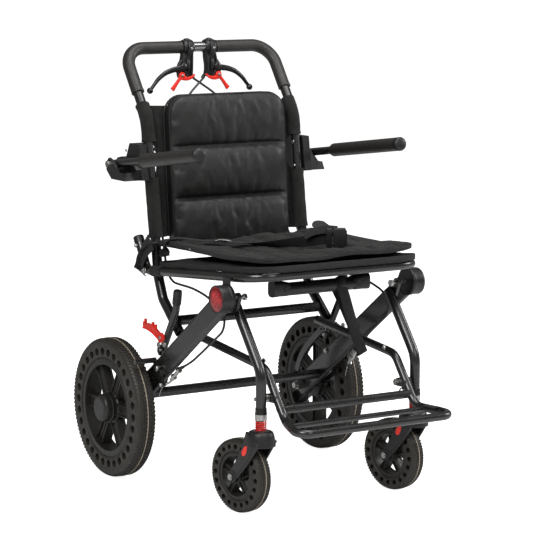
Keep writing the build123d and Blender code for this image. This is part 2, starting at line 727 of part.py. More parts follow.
def make_fork(x):
    """A trailing fork with a round crown."""
    axle = (STEM_Y + CASTER_TRAIL, CASTER_WHEEL_R)
    with BuildPart() as fork:
        with BuildSketch(Plane.XY.offset(FORK_TOP_Z - CROWN_THICK)):
            with Locations(at(x, STEM_Y, 0)[:2]):
                Circle(29)
        extrude(amount=CROWN_THICK)
        fillet(fork.faces().sort_by(Axis.Z)[-1].edges(), 6)
        for inner in (x - FORK_INNER - FORK_ARM, x + FORK_INNER):
            with BuildSketch(side_plane(inner)):
                with Locations((STEM_Y + 2, FORK_TOP_Z - CROWN_THICK + 1)):
                    Rectangle(38, 18)
                with Locations(axle):
                    Circle(14)
                make_hull()
                with Locations(axle):
                    Circle(CASTER_AXLE_R + 0.02, mode=Mode.SUBTRACT)
            extrude(amount=FORK_ARM)
        with BuildSketch(Plane.XY.offset(FORK_TOP_Z - CROWN_THICK - 20)):
            with Locations(at(x, STEM_Y, 0)[:2]):
                Circle(STEM_R + FIT)
        extrude(amount=60, mode=Mode.SUBTRACT)
    return fork.part


def make_caster_axle(x):
    """The caster wheel's bolt with its head and nut."""
    axle = (STEM_Y + CASTER_TRAIL, CASTER_WHEEL_R)
    with BuildPart() as bolt:
        add(cross_pin(axle, x - AXLE_HALF, x + AXLE_HALF, CASTER_AXLE_R))
        add(hex_head(axle, x - AXLE_HALF + 2, x - FORK_INNER - FORK_ARM, 13))
        add(hex_head(axle, x + FORK_INNER + FORK_ARM, x + AXLE_HALF - 2, 13))
    return bolt.part


for side, x in (("left", STEM_X), ("right", -STEM_X)):
    steer = Axis(at(x, STEM_Y, 0), (0, 0, 1))
    axle = (STEM_Y + CASTER_TRAIL, CASTER_WHEEL_R)
    tyre = make_tyre(
        x, *axle, CASTER_WHEEL_R, CASTER_RIM_R, CASTER_TYRE_WIDTH,
        shoulder=8, hole_ring_r=62, hole_r=5.5, holes=20,
    )
    rim = make_rim(
        x, *axle, CASTER_RIM_R, well_r=44, width=28, spokes=5, first_spoke=90, spoke_width=13,
        spoke_thick=12, hub_r=14, hub_half=FORK_INNER - 1, bore_r=CASTER_AXLE_R + FIT,
    )
    save(make_stem(x), f"caster_stem_{side}")
    save(make_spring(x), f"front_spring_{side}")
    save(make_fork(x).rotate(steer, CASTER_REST_ANGLE), f"fork_{side}")
    save(make_caster_axle(x).rotate(steer, CASTER_REST_ANGLE), f"front_axle_{side}")
    save(tyre.rotate(steer, CASTER_REST_ANGLE), f"front_tyre_{side}")
    save(rim.rotate(steer, CASTER_REST_ANGLE), f"front_rim_{side}")

# ---- footrest and its links: one bent tube ------------------------------------------
LINK_KNEE = (-452.0, 303.0)
LINK_FOOT = (-530.0, 203.0)
LUG_ON_LINK = (-496.0, 246.0)
LUG_THICK = 2 * LINK_R
TOE = (-628.0, 198.0)
TOE_X = 197.0
CROSS_BAR_Y = -552.0
link_left = [at(LINK_X, *POST_END), at(LINK_X, *LINK_KNEE), at(LINK_X, *LINK_FOOT), at(TOE_X, *TOE)]
link_right = [(-x, y, z) for x, y, z in reversed(link_left)]
footrest_tube = sweep_tube(link_left + link_right, [40, 35, 24, 24, 35, 40], LINK_R)
arm_share = (CROSS_BAR_Y - LINK_FOOT[0]) / (TOE[0] - LINK_FOOT[0])
cross_bar_half = LINK_X + (TOE_X - LINK_X) * arm_share
KNEE_TUBE = (-512.0, 226.0)
with BuildPart() as footrest_frame:
    add(footrest_tube)
    add(cross_pin((CROSS_BAR_Y, 199), -cross_bar_half, cross_bar_half, 6))
    add(cross_pin(KNEE_TUBE, -LINK_X, LINK_X, 9))
    for lug_x in (-LINK_X, LINK_X):
        with BuildSketch(side_plane(lug_x - LUG_THICK / 2)):
            with Locations(FOOTREST_PIVOT):
                Circle(LINK_R)
            with Locations(LUG_ON_LINK):
                Circle(LINK_R - 1)
            make_hull()
        extrude(amount=LUG_THICK)
    for bore_low in (-LINK_X - LINK_R, LINK_X - LINK_R):
        with BuildSketch(side_plane(bore_low)):
            with Locations(FOOTREST_PIVOT):
                Circle(PIN_R + FIT)
        extrude(amount=2 * LINK_R, mode=Mode.SUBTRACT)
save(footrest_frame.part, "footrest_frame")

# ---- brake cables -------------------------------------------------------------------
CABLE_R = 2.5


def corner_radii(points):
    """The largest tangent arc at each corner that both of its runs leave room for."""
    radii = []
    for before, here, after in zip(points, points[1:], points[2:]):
        run_in = Vector(*here) - Vector(*before)
        run_out = Vector(*after) - Vector(*here)
        half_turn = radians(run_in.get_angle(run_out) / 2)
        shorter = min(run_in.length, run_out.length)
        radii.append(0.45 * shorter * cos(half_turn) / sin(half_turn))
    return radii


def make_cable(points):
    """A brake cable, held along a route of straight runs and tangent arcs."""
    return sweep_tube(points, corner_radii(points), CABLE_R)


def upper_route(side, depth):
    """From the lever housing down behind the pad to the pivot on the far side."""
    return [
        at(-side * 14, 98 + depth, 867.5), at(side * 38, 80 + depth, 830),
        at(side * 66, 64, 792), at(side * 86, 50, 748),
        at(side * 104, 38, 696), at(side * 130, 22, 638),
        at(side * 150, 2, 584), at(side * 163, -22, 534), at(side * 168, -41, 494),
        at(side * 169, -51, 464),
    ]


def lower_route(side):
    """From the back pivot under the seat rail, round below the hub, back to the brake."""
    return [
        at(side * 169, -53, 456), at(side * 172, -72, 443), at(side * 183, -108, 438),
        at(side * 196, -160, 441), at(side * 204, -222, 443), at(side * 208, -284, 436),
        at(side * 210, -338, 421), at(side * 210.5, -367, 398), at(side * 210, -358, 370),
        at(side * 211, -322, 345), at(side * 213, -282, 316), at(side * 221, -246, 287),
        at(side * (BAR_X + 6), -214, 269),
    ]


upper_cables = [make_cable(upper_route(1, 4)), make_cable(upper_route(-1, -4))]
save(Compound(children=upper_cables), "brake_cables_upper")
save(Compound(children=[make_cable(lower_route(side)) for side in (1, -1)]), "brake_cables_lower")

print(len(nodes), "nodes")
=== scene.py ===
"""The looks of a folding transport wheelchair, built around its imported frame.

Metres, +Z up, -Y is the chair's front, +X is the sitter's left.  A side view is drawn in
(y, z) pairs, where y is measured from the rear axle, as at() places it.
"""

import json
from math import atan2, cos, exp, hypot, pi, radians, sin, sqrt, tau

import bmesh
import bpy
from mathutils import Matrix, Vector, noise


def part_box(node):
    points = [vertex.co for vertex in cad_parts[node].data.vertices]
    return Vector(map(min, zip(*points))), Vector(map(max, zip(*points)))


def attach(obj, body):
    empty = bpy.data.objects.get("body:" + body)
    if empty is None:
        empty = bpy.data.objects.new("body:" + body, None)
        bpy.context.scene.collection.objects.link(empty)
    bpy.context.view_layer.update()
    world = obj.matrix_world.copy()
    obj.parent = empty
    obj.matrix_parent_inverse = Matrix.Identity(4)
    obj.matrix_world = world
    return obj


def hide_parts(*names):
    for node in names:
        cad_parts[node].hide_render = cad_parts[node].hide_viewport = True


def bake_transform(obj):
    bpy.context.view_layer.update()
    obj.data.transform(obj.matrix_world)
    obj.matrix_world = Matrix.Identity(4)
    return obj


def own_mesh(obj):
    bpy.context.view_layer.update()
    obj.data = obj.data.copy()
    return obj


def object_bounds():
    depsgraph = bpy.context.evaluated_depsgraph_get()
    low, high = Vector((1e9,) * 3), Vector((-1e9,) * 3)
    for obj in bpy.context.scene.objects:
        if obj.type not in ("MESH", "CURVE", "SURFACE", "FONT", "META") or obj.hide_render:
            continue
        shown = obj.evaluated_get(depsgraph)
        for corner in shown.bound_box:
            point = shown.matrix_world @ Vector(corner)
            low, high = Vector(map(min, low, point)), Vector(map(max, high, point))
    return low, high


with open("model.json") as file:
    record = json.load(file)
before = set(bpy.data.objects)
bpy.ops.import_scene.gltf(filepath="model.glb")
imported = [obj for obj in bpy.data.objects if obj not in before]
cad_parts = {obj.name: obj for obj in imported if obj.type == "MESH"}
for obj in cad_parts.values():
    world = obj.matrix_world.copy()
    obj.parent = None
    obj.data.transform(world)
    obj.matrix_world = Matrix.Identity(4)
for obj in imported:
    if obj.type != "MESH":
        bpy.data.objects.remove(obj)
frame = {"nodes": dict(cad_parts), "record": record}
nodes = frame["nodes"]
cad_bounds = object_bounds()
scene = bpy.context.scene
SIDES = (("left", 1), ("right", -1))
SQUARE = ((-1, -1), (1, -1), (1, 1), (-1, 1))
X_AXIS = Vector((1, 0, 0))
Y_AXIS = Vector((0, 1, 0))
Z_AXIS = Vector((0, 0, 1))


def middle(node):
    """The middle of a CAD node's box."""
    low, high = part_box(node)
    return (low + high) / 2


AXLE_Y = middle("rear_axles").y


def at(x, y, z):
    """A point from its distance behind the rear axle."""
    return Vector((x, AXLE_Y + y, z))


def route(sign, places, steps=6):
    """A smooth curve through points that are written for the left side, where sign is 1."""
    return smooth_path([at(sign * x, y, z) for x, y, z in places], steps)


# ---- camera, light and floor --------------------------------------------------------
CAMERA_PLACE = (-2.7421, -4.2588, 1.2293)
CAMERA_YAW = radians(32.49)
CAMERA_DIP = radians(8.45)
CAMERA_ROLL = radians(0.34)
FOCAL_LENGTH = 159.3  # millimetres, as the sensor's width
SENSOR_WIDTH = 36
LIGHTS = (  # name, place, size, watts
    ("key_light", (-2.4, -1.6, 2.8), 1.5, 85), ("top_light", (0.3, -0.6, 3.0), 1.8, 50),
    ("front_light", (0.2, -3.4, 2.4), 1.1, 26), ("fill_light", (2.8, -1.0, 1.8), 1.2, 40),
)
LIGHT_TARGET = Vector((0, 0, 0.45))
AMBIENT = 0.20  # the world's strength as a light
BACKDROP = 1.1  # its strength as the camera sees it
FLOOR_HALF = 60.0
FLOOR_DROP = 0.0024  # the tread blocks reach this far below the tyres
FLOOR_GLOW = 0.90  # as the camera sees it


def make_camera():
    """A long lens at the chair's front right."""
    data = bpy.data.cameras.new("camera")
    data.sensor_width = SENSOR_WIDTH
    data.lens = FOCAL_LENGTH
    camera = bpy.data.objects.new("camera", data)
    flat = cos(CAMERA_DIP)
    ahead = Vector((sin(CAMERA_YAW) * flat, cos(CAMERA_YAW) * flat, -sin(CAMERA_DIP)))
    level = Vector((cos(CAMERA_YAW), -sin(CAMERA_YAW), 0))
    right = cos(CAMERA_ROLL) * level + sin(CAMERA_ROLL) * level.cross(ahead)
    top = right.cross(ahead)
    turn = Matrix((right, top, -ahead)).transposed().to_4x4()
    camera.matrix_world = Matrix.Translation(CAMERA_PLACE) @ turn
    scene.collection.objects.link(camera)
    scene.camera = camera


def add_light(name, place, size, power):
    """A square soft light that faces the seat."""
    data = bpy.data.lights.new(name, "AREA")
    data.size = size
    data.energy = power
    light = bpy.data.objects.new(name, data)
    light.location = place
    light.rotation_euler = (LIGHT_TARGET - Vector(place)).to_track_quat("-Z", "Y").to_euler()
    scene.collection.objects.link(light)


def make_studio():
    """A white world, four soft lights and a pale floor."""
    world = bpy.data.worlds.new("studio")
    world.use_nodes = True
    tree = world.node_tree
    ambient = tree.nodes["Background"]
    backdrop = tree.nodes.new("ShaderNodeBackground")
    for background, strength in ((ambient, AMBIENT), (backdrop, BACKDROP)):
        background.inputs["Color"].default_value = (1, 1, 1, 1)
        background.inputs["Strength"].default_value = strength
    seen = tree.nodes.new("ShaderNodeLightPath")
    mix = tree.nodes.new("ShaderNodeMixShader")
    tree.links.new(seen.outputs["Is Camera Ray"], mix.inputs[0])
    tree.links.new(ambient.outputs[0], mix.inputs[1])
    tree.links.new(backdrop.outputs[0], mix.inputs[2])
    tree.links.new(mix.outputs[0], tree.nodes["World Output"].inputs["Surface"])
    scene.world = world
    scene.view_settings.view_transform = "Standard"
    for row in LIGHTS:
        add_light(*row)
    floor_z = cad_bounds[0].z - FLOOR_DROP
    mesh = bpy.data.meshes.new("floor")
    corners = [(x * FLOOR_HALF, y * FLOOR_HALF, floor_z) for x, y in SQUARE]
    mesh.from_pydata(corners, [], [(0, 1, 2, 3)])
    floor = bpy.data.objects.new("floor", mesh)
    floor.data.materials.append(floor_material())
    scene.collection.objects.link(floor)


# ---- materials ----------------------------------------------------------------------
class Shade:
    """A node material under construction, in the row frame's own coordinates."""

    def __init__(self, name):
        self.material = bpy.data.materials.new(name)
        self.material.use_nodes = True
        self.tree = self.material.node_tree
        self.shader = self.tree.nodes["Principled BSDF"]
        self.place = self.node("ShaderNodeTexCoord").outputs["Object"]
        self.normal = None

    def put(self, socket, value):
        """Links a socket to another node's output, or sets its value."""
        if isinstance(value, bpy.types.NodeSocket):
            self.tree.links.new(value, socket)
        else:
            socket.default_value = value

    def node(self, kind, settings=(), **sockets):
        made = self.tree.nodes.new(kind)
        for key, value in dict(settings).items():
            setattr(made, key, value)
        for key, value in sockets.items():
            self.put(made.inputs[key.replace("_", " ")], value)
        return made

    def math(self, operation, a, b=0.0):
        made = self.node("ShaderNodeMath", {"operation": operation})
        self.put(made.inputs[0], a)
        self.put(made.inputs[1], b)
        return made.outputs[0]

    def noise(self, scale, detail=3.0):
        return self.node("ShaderNodeTexNoise", Vector=self.place, Scale=scale, Detail=detail).outputs["Fac"]

    def grain(self, scale):
        """Leather-like cells."""
        return self.node("ShaderNodeTexVoronoi", Vector=self.place, Scale=scale).outputs["Distance"]

    def waves(self, pitch, ribs=False):
        """A woven height: two crossing sets of threads, or one set of ribs."""
        parts = self.node("ShaderNodeSeparateXYZ", Vector=self.place).outputs
        turn = tau / pitch
        lean = self.math("SUBTRACT", parts[1], parts[2])
        warp = self.math("MULTIPLY", self.math("ADD", parts[0], self.math("MULTIPLY", lean, 0.5)), turn)
        weft = self.math("MULTIPLY", self.math("ADD", parts[1], parts[2]), turn)
        if ribs:
            return self.math("SINE", weft)
        return self.math("MULTIPLY", self.math("SINE", warp), self.math("SINE", weft))

    def bump(self, height, depth):
        """One more layer of bump over those already there."""
        below = {"Normal": self.normal} if self.normal else {}
        made = self.node("ShaderNodeBump", Height=height, Distance=depth, Strength=1.0, **below)
        self.normal = made.outputs["Normal"]

    def blend(self, share, a, b):
        mix = self.node("ShaderNodeMix", {"data_type": "RGBA"})
        for index, value in ((0, share), (6, a), (7, b)):
            self.put(mix.inputs[index], value)
        return mix.outputs[2]

    def ramp(self, value, low, high, to_low=0.0, to_high=1.0):
        sockets = {"From Min": low, "From Max": high, "To Min": to_low, "To Max": to_high}
        return self.node("ShaderNodeMapRange", Value=value, **sockets).outputs[0]

    def done(self, **sockets):
        for key, value in sockets.items():
            self.put(self.shader.inputs[key.replace("_", " ")], value)
        if self.normal:
            self.tree.links.new(self.normal, self.shader.inputs["Normal"])
        return self.material


def textured(name, dark, light, rough, mottle, rough_spread=0.08, bumps=(), **sockets):
    """Mottled colour with painted shade in woven hollows, uneven gloss and layered bump.

    bumps holds (kind, scale or pitch, depth) rows, with kind one of noise, grain, weave, ribs.
    """
    shade = Shade(name)
    colour = shade.blend(shade.ramp(shade.noise(mottle, 4), 0.3, 0.7), (*dark, 1), (*light, 1))
    for kind, size, depth in bumps:
        if kind == "noise":
            height = shade.noise(size)
        elif kind == "grain":
            height = shade.grain(size)
        else:
            height = shade.waves(size, ribs=kind == "ribs")
            # painted shade: the hollows of the weave and of the ribs are darkened in the colour
            hollow_shade = shade.ramp(height, -1, 0.2, 0.45, 0.0)
            colour = shade.blend(hollow_shade, colour, (*(0.35 * c for c in dark), 1))
        shade.bump(height, depth)
    gloss = shade.ramp(shade.noise(mottle * 3, 2), 0.3, 0.7, rough - rough_spread, rough + rough_spread)
    return shade.done(Base_Color=colour, Roughness=gloss, **sockets)


def reflector_material():
    """Red prismatic plastic: a honeycomb of small corner cubes under a clear face, each with a painted glint
    and painted shade along its edges.
    """
    shade = Shade("reflector")
    cubes = {"Vector": shade.place, "Scale": 260.0, "Randomness": 0.1}
    to_edge = {"feature": "DISTANCE_TO_EDGE"}
    cells = shade.node("ShaderNodeTexVoronoi", to_edge, **cubes).outputs["Distance"]
    facets = shade.node("ShaderNodeTexVoronoi", **cubes).outputs["Color"]
    lit = shade.node("ShaderNodeSeparateColor", Color=facets).outputs[0]
    shade.bump(cells, 0.0008)
    # painted glint: each corner cube gets its own brightness; painted shade darkens the lines between the
    # cubes
    glint = shade.blend(lit, (0.34, 0.0, 0.004, 1), (0.72, 0.010, 0.016, 1))
    colour = shade.blend(shade.ramp(cells, 0.0, 0.12), (0.07, 0.0, 0.0, 1), glint)
    gloss = shade.ramp(shade.noise(300), 0.3, 0.7, 0.2, 0.32)
    return shade.done(Base_Color=colour, Roughness=gloss, Coat_Weight=0.25, Coat_Roughness=0.15)


def floor_material():
    """A pale sweep that stays near white as far as it is seen."""
    shade = Shade("floor")
    colour = shade.blend(shade.noise(3.0), (0.84, 0.84, 0.84, 1), (0.87, 0.87, 0.87, 1))
    seen = shade.node("ShaderNodeLightPath").outputs["Is Camera Ray"]
    glow = shade.math("MULTIPLY", seen, FLOOR_GLOW)
    return shade.done(Base_Color=colour, Roughness=0.85, Emission_Color=(1, 1, 1, 1), Emission_Strength=glow)


FINISHES = (  # name, dark and light colour, roughness, mottle scale, specular level, bumps, other settings
    (
        "black_paint", (0.0068, 0.0065, 0.0062), (0.0088, 0.0084, 0.0080), 0.27, 14, 0.7,
        (), {"rough_spread": 0.03},
    ),
    (
        "tyre_rubber", (0.0170, 0.0150, 0.0118), (0.0250, 0.0222, 0.0172), 0.55, 45, 0.5,
        (("noise", 500, 0.00005),), {},
    ),
    (
        "rim_plastic", (0.0120, 0.0112, 0.0095), (0.0165, 0.0155, 0.0132), 0.46, 70, 0.45,
        (("noise", 1400, 0.00004),), {},
    ),
    (
        "black_plastic", (0.0075, 0.0075, 0.0075), (0.011, 0.011, 0.0105), 0.40, 80, 0.45,
        (("noise", 1600, 0.00005),), {},
    ),
    (
        "zinc", (0.30, 0.30, 0.29), (0.46, 0.46, 0.45), 0.30, 300, 0.5,
        (("noise", 1500, 0.00005),), {"Metallic": 1.0},
    ),
    (
        "chrome", (0.42, 0.42, 0.42), (0.52, 0.52, 0.51), 0.15, 90, 0.5,
        (), {"rough_spread": 0.04, "Metallic": 1.0},
    ),
    (
        "red_plastic", (0.72, 0.022, 0.013), (0.84, 0.036, 0.022), 0.36, 120, 0.4,
        (("noise", 1200, 0.00003),), {},
    ),
    (
        "red_spring", (0.55, 0.016, 0.012), (0.70, 0.028, 0.020), 0.32, 200, 0.4,
        (("noise", 1200, 0.00003),), {},
    ),
    (
        "lever_black", (0.006, 0.006, 0.006), (0.009, 0.009, 0.009), 0.26, 110, 0.55,
        (("noise", 400, 0.00002),), {},
    ),
    (
        "cable_sheath", (0.007, 0.007, 0.007), (0.011, 0.011, 0.0105), 0.36, 120, 0.45,
        (("noise", 900, 0.00003),), {},
    ),
    (
        "tread_line", (0.26, 0.22, 0.16), (0.36, 0.31, 0.24), 0.7, 60, 0.5,
        (("noise", 900, 0.0002),), {},
    ),
    (
        "thread", (0.016, 0.0155, 0.0145), (0.028, 0.027, 0.025), 0.6, 500, 0.5,
        (("ribs", 0.0009, 0.0002),), {},
    ),
    (
        "pale_sleeve", (0.36, 0.36, 0.35), (0.46, 0.46, 0.44), 0.45, 200, 0.5,
        (("ribs", 0.002, 0.0003),), {},
    ),
    (
        "foam", (0.0135, 0.0125, 0.0110), (0.0200, 0.0187, 0.0165), 0.46, 60, 0.5,
        (("noise", 900, 0.00008), ("grain", 2200, 0.00004)), {},
    ),
    (
        "leatherette", (0.0058, 0.0057, 0.0054), (0.0085, 0.0082, 0.0078), 0.50, 22, 0.42,
        (("grain", 1300, 0.00006), ("noise", 420, 0.0001), ("noise", 60, 0.0003)), {},
    ),
    (
        "seat_fabric", (0.0095, 0.0090, 0.0085), (0.016, 0.0155, 0.0145), 0.80, 35, 0.25,
        (("weave", 0.0018, 0.0003), ("noise", 500, 0.0003)), {"Sheen_Weight": 0.05},
    ),
    (
        "webbing", (0.008, 0.0078, 0.0075), (0.014, 0.0135, 0.013), 0.70, 60, 0.3,
        (("weave", 0.0022, 0.0004),), {"Sheen_Weight": 0.05},
    ),
)


def make_finishes():
    """Every material of the chair by name: one for each slot, and a few that share a slot."""
    made = {"reflector": reflector_material()}
    for name, dark, light, rough, mottle, specular, bumps, other in FINISHES:
        other = {"Specular_IOR_Level": specular, **other}
        made[name] = textured(name, dark, light, rough, mottle, bumps=bumps, **other)
    return made


finishes = make_finishes()


def dress_cad_nodes():
    """Each CAD node takes the material that the record names for it."""
    for row in frame["record"]["subparts"]:
        name = "reflector" if row["node"] == "hub_reflectors" else row["material_slot"]
        materials = nodes[row["node"]].data.materials
        materials.clear()
        materials.append(finishes[name])


# ---- mesh building ------------------------------------------------------------------
def frame_on(axis):
    """Two unit vectors square to an axis, as a right-handed set with it."""
    axis = axis.normalized()
    helper = Z_AXIS if abs(axis.z) < 0.9 else Y_AXIS
    first = helper.cross(axis).normalized()
    return first, axis.cross(first)


def round_section(radius, count=16, flat=1.0):
    """A circle, or an ellipse flattened in its second direction."""
    return [(radius * cos(tau * i / count), flat * radius * sin(tau * i / count)) for i in range(count)]


def strap_section(width, thick, corner=4):
    """A flat strip with rounded edges."""
    half, r = width / 2 - thick / 2, thick / 2
    turns = [pi * (i / corner) - pi / 2 for i in range(corner + 1)]
    right = [(half + r * cos(a), r * sin(a)) for a in turns]
    return right + [(-x, -y) for x, y in right]


def box_section(width, depth, corner, steps=4):
    """A rectangle with round corners."""
    points = []
    for quarter in range(4):
        cx = (width / 2 - corner) * (1 if quarter in (0, 3) else -1)
        cy = (depth / 2 - corner) * (1 if quarter in (0, 1) else -1)
        for i in range(steps + 1):
            a = pi / 2 * (quarter + i / steps)
            points.append((cx + corner * cos(a), cy + corner * sin(a)))
    return points


def smooth_path(points, steps=8, closed=False):
    """A Catmull-Rom curve through given points."""
    points = [Vector(p) for p in points]
    count = len(points)
    spans = count if closed else count - 1
    path = []
    for i in range(spans):
        pick = [(i + k) % count if closed else min(max(i + k, 0), count - 1) for k in (-1, 0, 1, 2)]
        a, b, c, d = (points[k] for k in pick)
        for s in range(steps):
            t = s / steps
            bow = (2 * a - 5 * b + 4 * c - d) * t**2 + (3 * b - a - 3 * c + d) * t**3
            path.append(0.5 * (2 * b + (c - a) * t + bow))
    return path if closed else path + [points[-1]]


class Shell:
    """Vertices and faces of one piece, gathered from simple surfaces."""

    def __init__(self):
        self.points = []
        self.faces = []

    def add(self, points, faces):
        start = len(self.points)
        self.points += [Vector(p) for p in points]
        self.faces += [tuple(start + i for i in face) for face in faces]
        return self

    def rings(self, rings, caps=True, closed=False):
        """A skin over rings of equally many points."""
        count = len(rings[0])
        spans = len(rings) if closed else len(rings) - 1
        faces = [
            (a * count + k, a * count + (k + 1) % count, b * count + (k + 1) % count, b * count + k)
            for a, b in ((i, (i + 1) % len(rings)) for i in range(spans)) for k in range(count)
        ]
        if caps and not closed:
            faces += [tuple(range(count)), tuple((len(rings) - 1) * count + k for k in range(count))]
        return self.add([p for ring in rings for p in ring], faces)

    def lathe(self, profile, centre, axis, count=48, closed=False, caps=True):
        """Turns (along, radius) points about an axis."""
        first, second = frame_on(axis)
        unit = axis.normalized()
        spokes = [first * cos(tau * k / count) + second * sin(tau * k / count) for k in range(count)]
        rings = [[centre + unit * along + spoke * radius for spoke in spokes] for along, radius in profile]
        return self.rings(rings, caps, closed)

    def band(self, profile, centre, axis, count=40):
        """A turned skin that is open at both ends."""
        return self.lathe(profile, centre, axis, count, caps=False)

    def sweep(self, path, section, up=Z_AXIS, closed=False):
        """Carries a section along a path; section is points, or a function of the share done."""
        path = [Vector(p) for p in path]
        last = len(path) - 1
        rings = []
        for i, here in enumerate(path):
            ahead = path[(i + 1) % len(path)] if closed else path[min(i + 1, last)]
            behind = path[i - 1] if closed or i else path[0]
            run = (ahead - behind).normalized()
            across = run.cross(up).normalized()
            lift = across.cross(run)
            outline = section(i / last) if callable(section) else section
            rings.append([here + across * x + lift * y for x, y in outline])
        return self.rings(rings, closed=closed)

    def raw(self, name):
        """A mesh object with outward normals and no finish yet."""
        mesh = bpy.data.meshes.new(name)
        mesh.from_pydata(self.points, [], self.faces)
        bm = bmesh.new()
        bm.from_mesh(mesh)
        bmesh.ops.recalc_face_normals(bm, faces=bm.faces)
        bm.to_mesh(mesh)
        bm.free()
        obj = bpy.data.objects.new(name, mesh)
        scene.collection.objects.link(obj)
        return obj

    def piece(self, name, finish, body, replaces=(), sharp=35, blend=None):
        """Makes the object, gives it its finish and fixes it to its body."""
        obj = self.raw(name)
        obj.data.shade_smooth()
        obj.data.set_sharp_from_angle(angle=radians(sharp))
        return settle(obj, finish, body, replaces, blend)


def settle(obj, finish, body, replaces=(), blend=None):
    """Gives a finished mesh its material, slot, body and the CAD nodes it stands for."""
    obj.data.materials.clear()
    obj.data.materials.append(finishes[finish])
    if blend:
        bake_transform(obj)
    elif body:
        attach(obj, body)
    if replaces:
        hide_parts(*replaces)
    return obj


def fastener(shell, place, out, across, height=0.005):
    """A hexagon head on its washer, pointing out."""
    r = across / 2
    shell.lathe([(0, 0.0001), (0, r * 1.25), (0.001, r * 1.25), (0.0013, r)], place, out, 32)
    head = [(0.0012, r * 1.12), (height * 0.8, r * 1.12), (height, r * 0.92), (height, 0.0001)]
    shell.lathe(head, place, out, 6)


def dome(shell, place, out, radius, height=0.004):
    """A round-headed rivet or a cap."""
    profile = [(0, radius)] + [(height * sin(a), radius * cos(a)) for a in (0.3, 0.6, 0.9, 1.2, 1.5)]
    shell.lathe(profile, place, out, 24)


# ---- wheels -------------------------------------------------------------------------
class Wheel:
    """A wheel's own measures, read from its CAD nodes."""

    def __init__(self, kind, side, angle):
        low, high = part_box(f"{kind}_tyre_{side}")
        self.name = f"{kind}_wheel_{side}"
        self.centre = (low + high) / 2
        self.radius = (high.z - low.z) / 2
        self.axis = Matrix.Rotation(angle, 3, "Z") @ X_AXIS
        self.across = self.axis.cross(Z_AXIS)

    def point(self, turn, radius, along):
        radial = self.across * cos(turn) + Z_AXIS * sin(turn)
        return self.centre + radial * radius + self.axis * along


TREAD_ENDS = ((-0.0006, 1.0), (0.0017, 0.84))  # lift and size of a block's foot and top
TREAD_LINE = ((-0.0012, -0.0004), (-0.0010, 0.0021), (0.0010, 0.0021), (0.0012, -0.0004))  # across, lift
BLOCK_FACES = [(4, 5, 6, 7), (0, 1, 5, 4), (1, 2, 6, 5), (2, 3, 7, 6), (3, 0, 4, 7)]
SIDEWALL_BEAD = ((-0.0008, -0.0016), (0.0006, -0.0006), (0.0006, 0.0006), (-0.0008, 0.0016))  # out, radius
RIB_SHARES = (0.0, 0.12, 0.5, 0.88, 1.0)  # places along a spoke
CASTER_ANGLE = radians(10)
CASTER_RADIUS = 0.0765  # the outer radius of a caster's tyre


def tread_point(wheel, half_width, shoulder, turn, across, lift):
    """A point on the tyre's crown, from its distance across the tread."""
    flat = half_width - shoulder
    beyond = abs(across) - flat
    if beyond <= 0:
        return wheel.point(turn, wheel.radius + lift, across)
    bend = beyond / shoulder
    along = (flat + (shoulder + lift) * sin(bend)) * (1 if across > 0 else -1)
    return wheel.point(turn, wheel.radius - shoulder + (shoulder + lift) * cos(bend), along)


def make_tread(wheel, half_width, shoulder, pitches, columns, block):
    """Raised tread blocks over the crown and shoulders, and the mould's centre line."""
    shell = Shell()
    step = tau / pitches
    for i in range(pitches):
        for across in columns:
            stagger = 0.5 * step if round(abs(across) / block) % 2 else 0.0
            slant = 0.12 * step * (1 if across > 0 else -1)
            corners = []
            for lift, size in TREAD_ENDS:
                for u, v in SQUARE:
                    turn = i * step + stagger + v * 0.31 * step * size + u * slant
                    place = across + u * 0.39 * block * size
                    corners.append(tread_point(wheel, half_width, shoulder, turn, place, lift))
            shell.add(corners, BLOCK_FACES)
    shell.piece(f"{wheel.name}_tread", "tyre_rubber", wheel.name, sharp=20)
    turns = [tau * k / 160 for k in range(160)]
    rings = [[wheel.point(a, wheel.radius + lift, along) for along, lift in TREAD_LINE] for a in turns]
    Shell().rings(rings, closed=True).piece(f"{wheel.name}_tread_line", "tread_line", wheel.name, sharp=50)


def make_rim_trim(wheel, rim_r, well_r, face, spokes, spoke_half, thick, hub_r, start):
    """Lips, sidewall steps, hub flanges and the raised ribs of the channelled spokes."""
    shell = Shell()
    lip = (  # out from the rim's face, radius
        (-0.001, rim_r + 0.0012), (0.0012, rim_r + 0.0008), (0.0018, rim_r - 0.002), (0.0014, well_r + 0.004),
        (0.0022, well_r + 0.002), (0.0016, well_r - 0.0008), (-0.004, well_r - 0.001),
    )
    flange = ((0.0, hub_r * 1.25), (0.003, hub_r * 1.18), (0.0045, hub_r * 0.98))
    inner, outer = hub_r * 0.9, well_r + 0.0015
    for out in (1, -1):
        shell.band([(out * (face + step), r) for step, r in lip], wheel.centre, wheel.axis, 96)
        shell.band([(out * (thick / 2 + step), r) for step, r in flange], wheel.centre, wheel.axis, 48)
        for k in range(spokes):
            radial = wheel.point(start + tau * k / spokes, 1, 0) - wheel.centre
            tangent = radial.cross(wheel.axis)
            for edge, height, width in ((-1, 0.0045, 0.0028), (1, 0.0045, 0.0028), (0, 0.0018, 0.0022)):
                rings = []
                for share in RIB_SHARES:
                    aside = edge * (spoke_half - width / 2) * (1 + 0.12 * (2 * share - 1) ** 2)
                    foot = wheel.centre + radial * (inner + (outer - inner) * share) + tangent * aside
                    rise = height * (1.6 if share in (0.0, 1.0) and edge else 1)
                    section = ((-0.7, -0.001), (-0.4, rise), (0.4, rise), (0.7, -0.001))
                    rings.append([
                        foot + wheel.axis * (out * (thick / 2 + lift)) + tangent * (width * beside)
                        for beside, lift in section
                    ])
                shell.rings(rings)
    shell.piece(f"{wheel.name}_rim_trim", "rim_plastic", wheel.name)


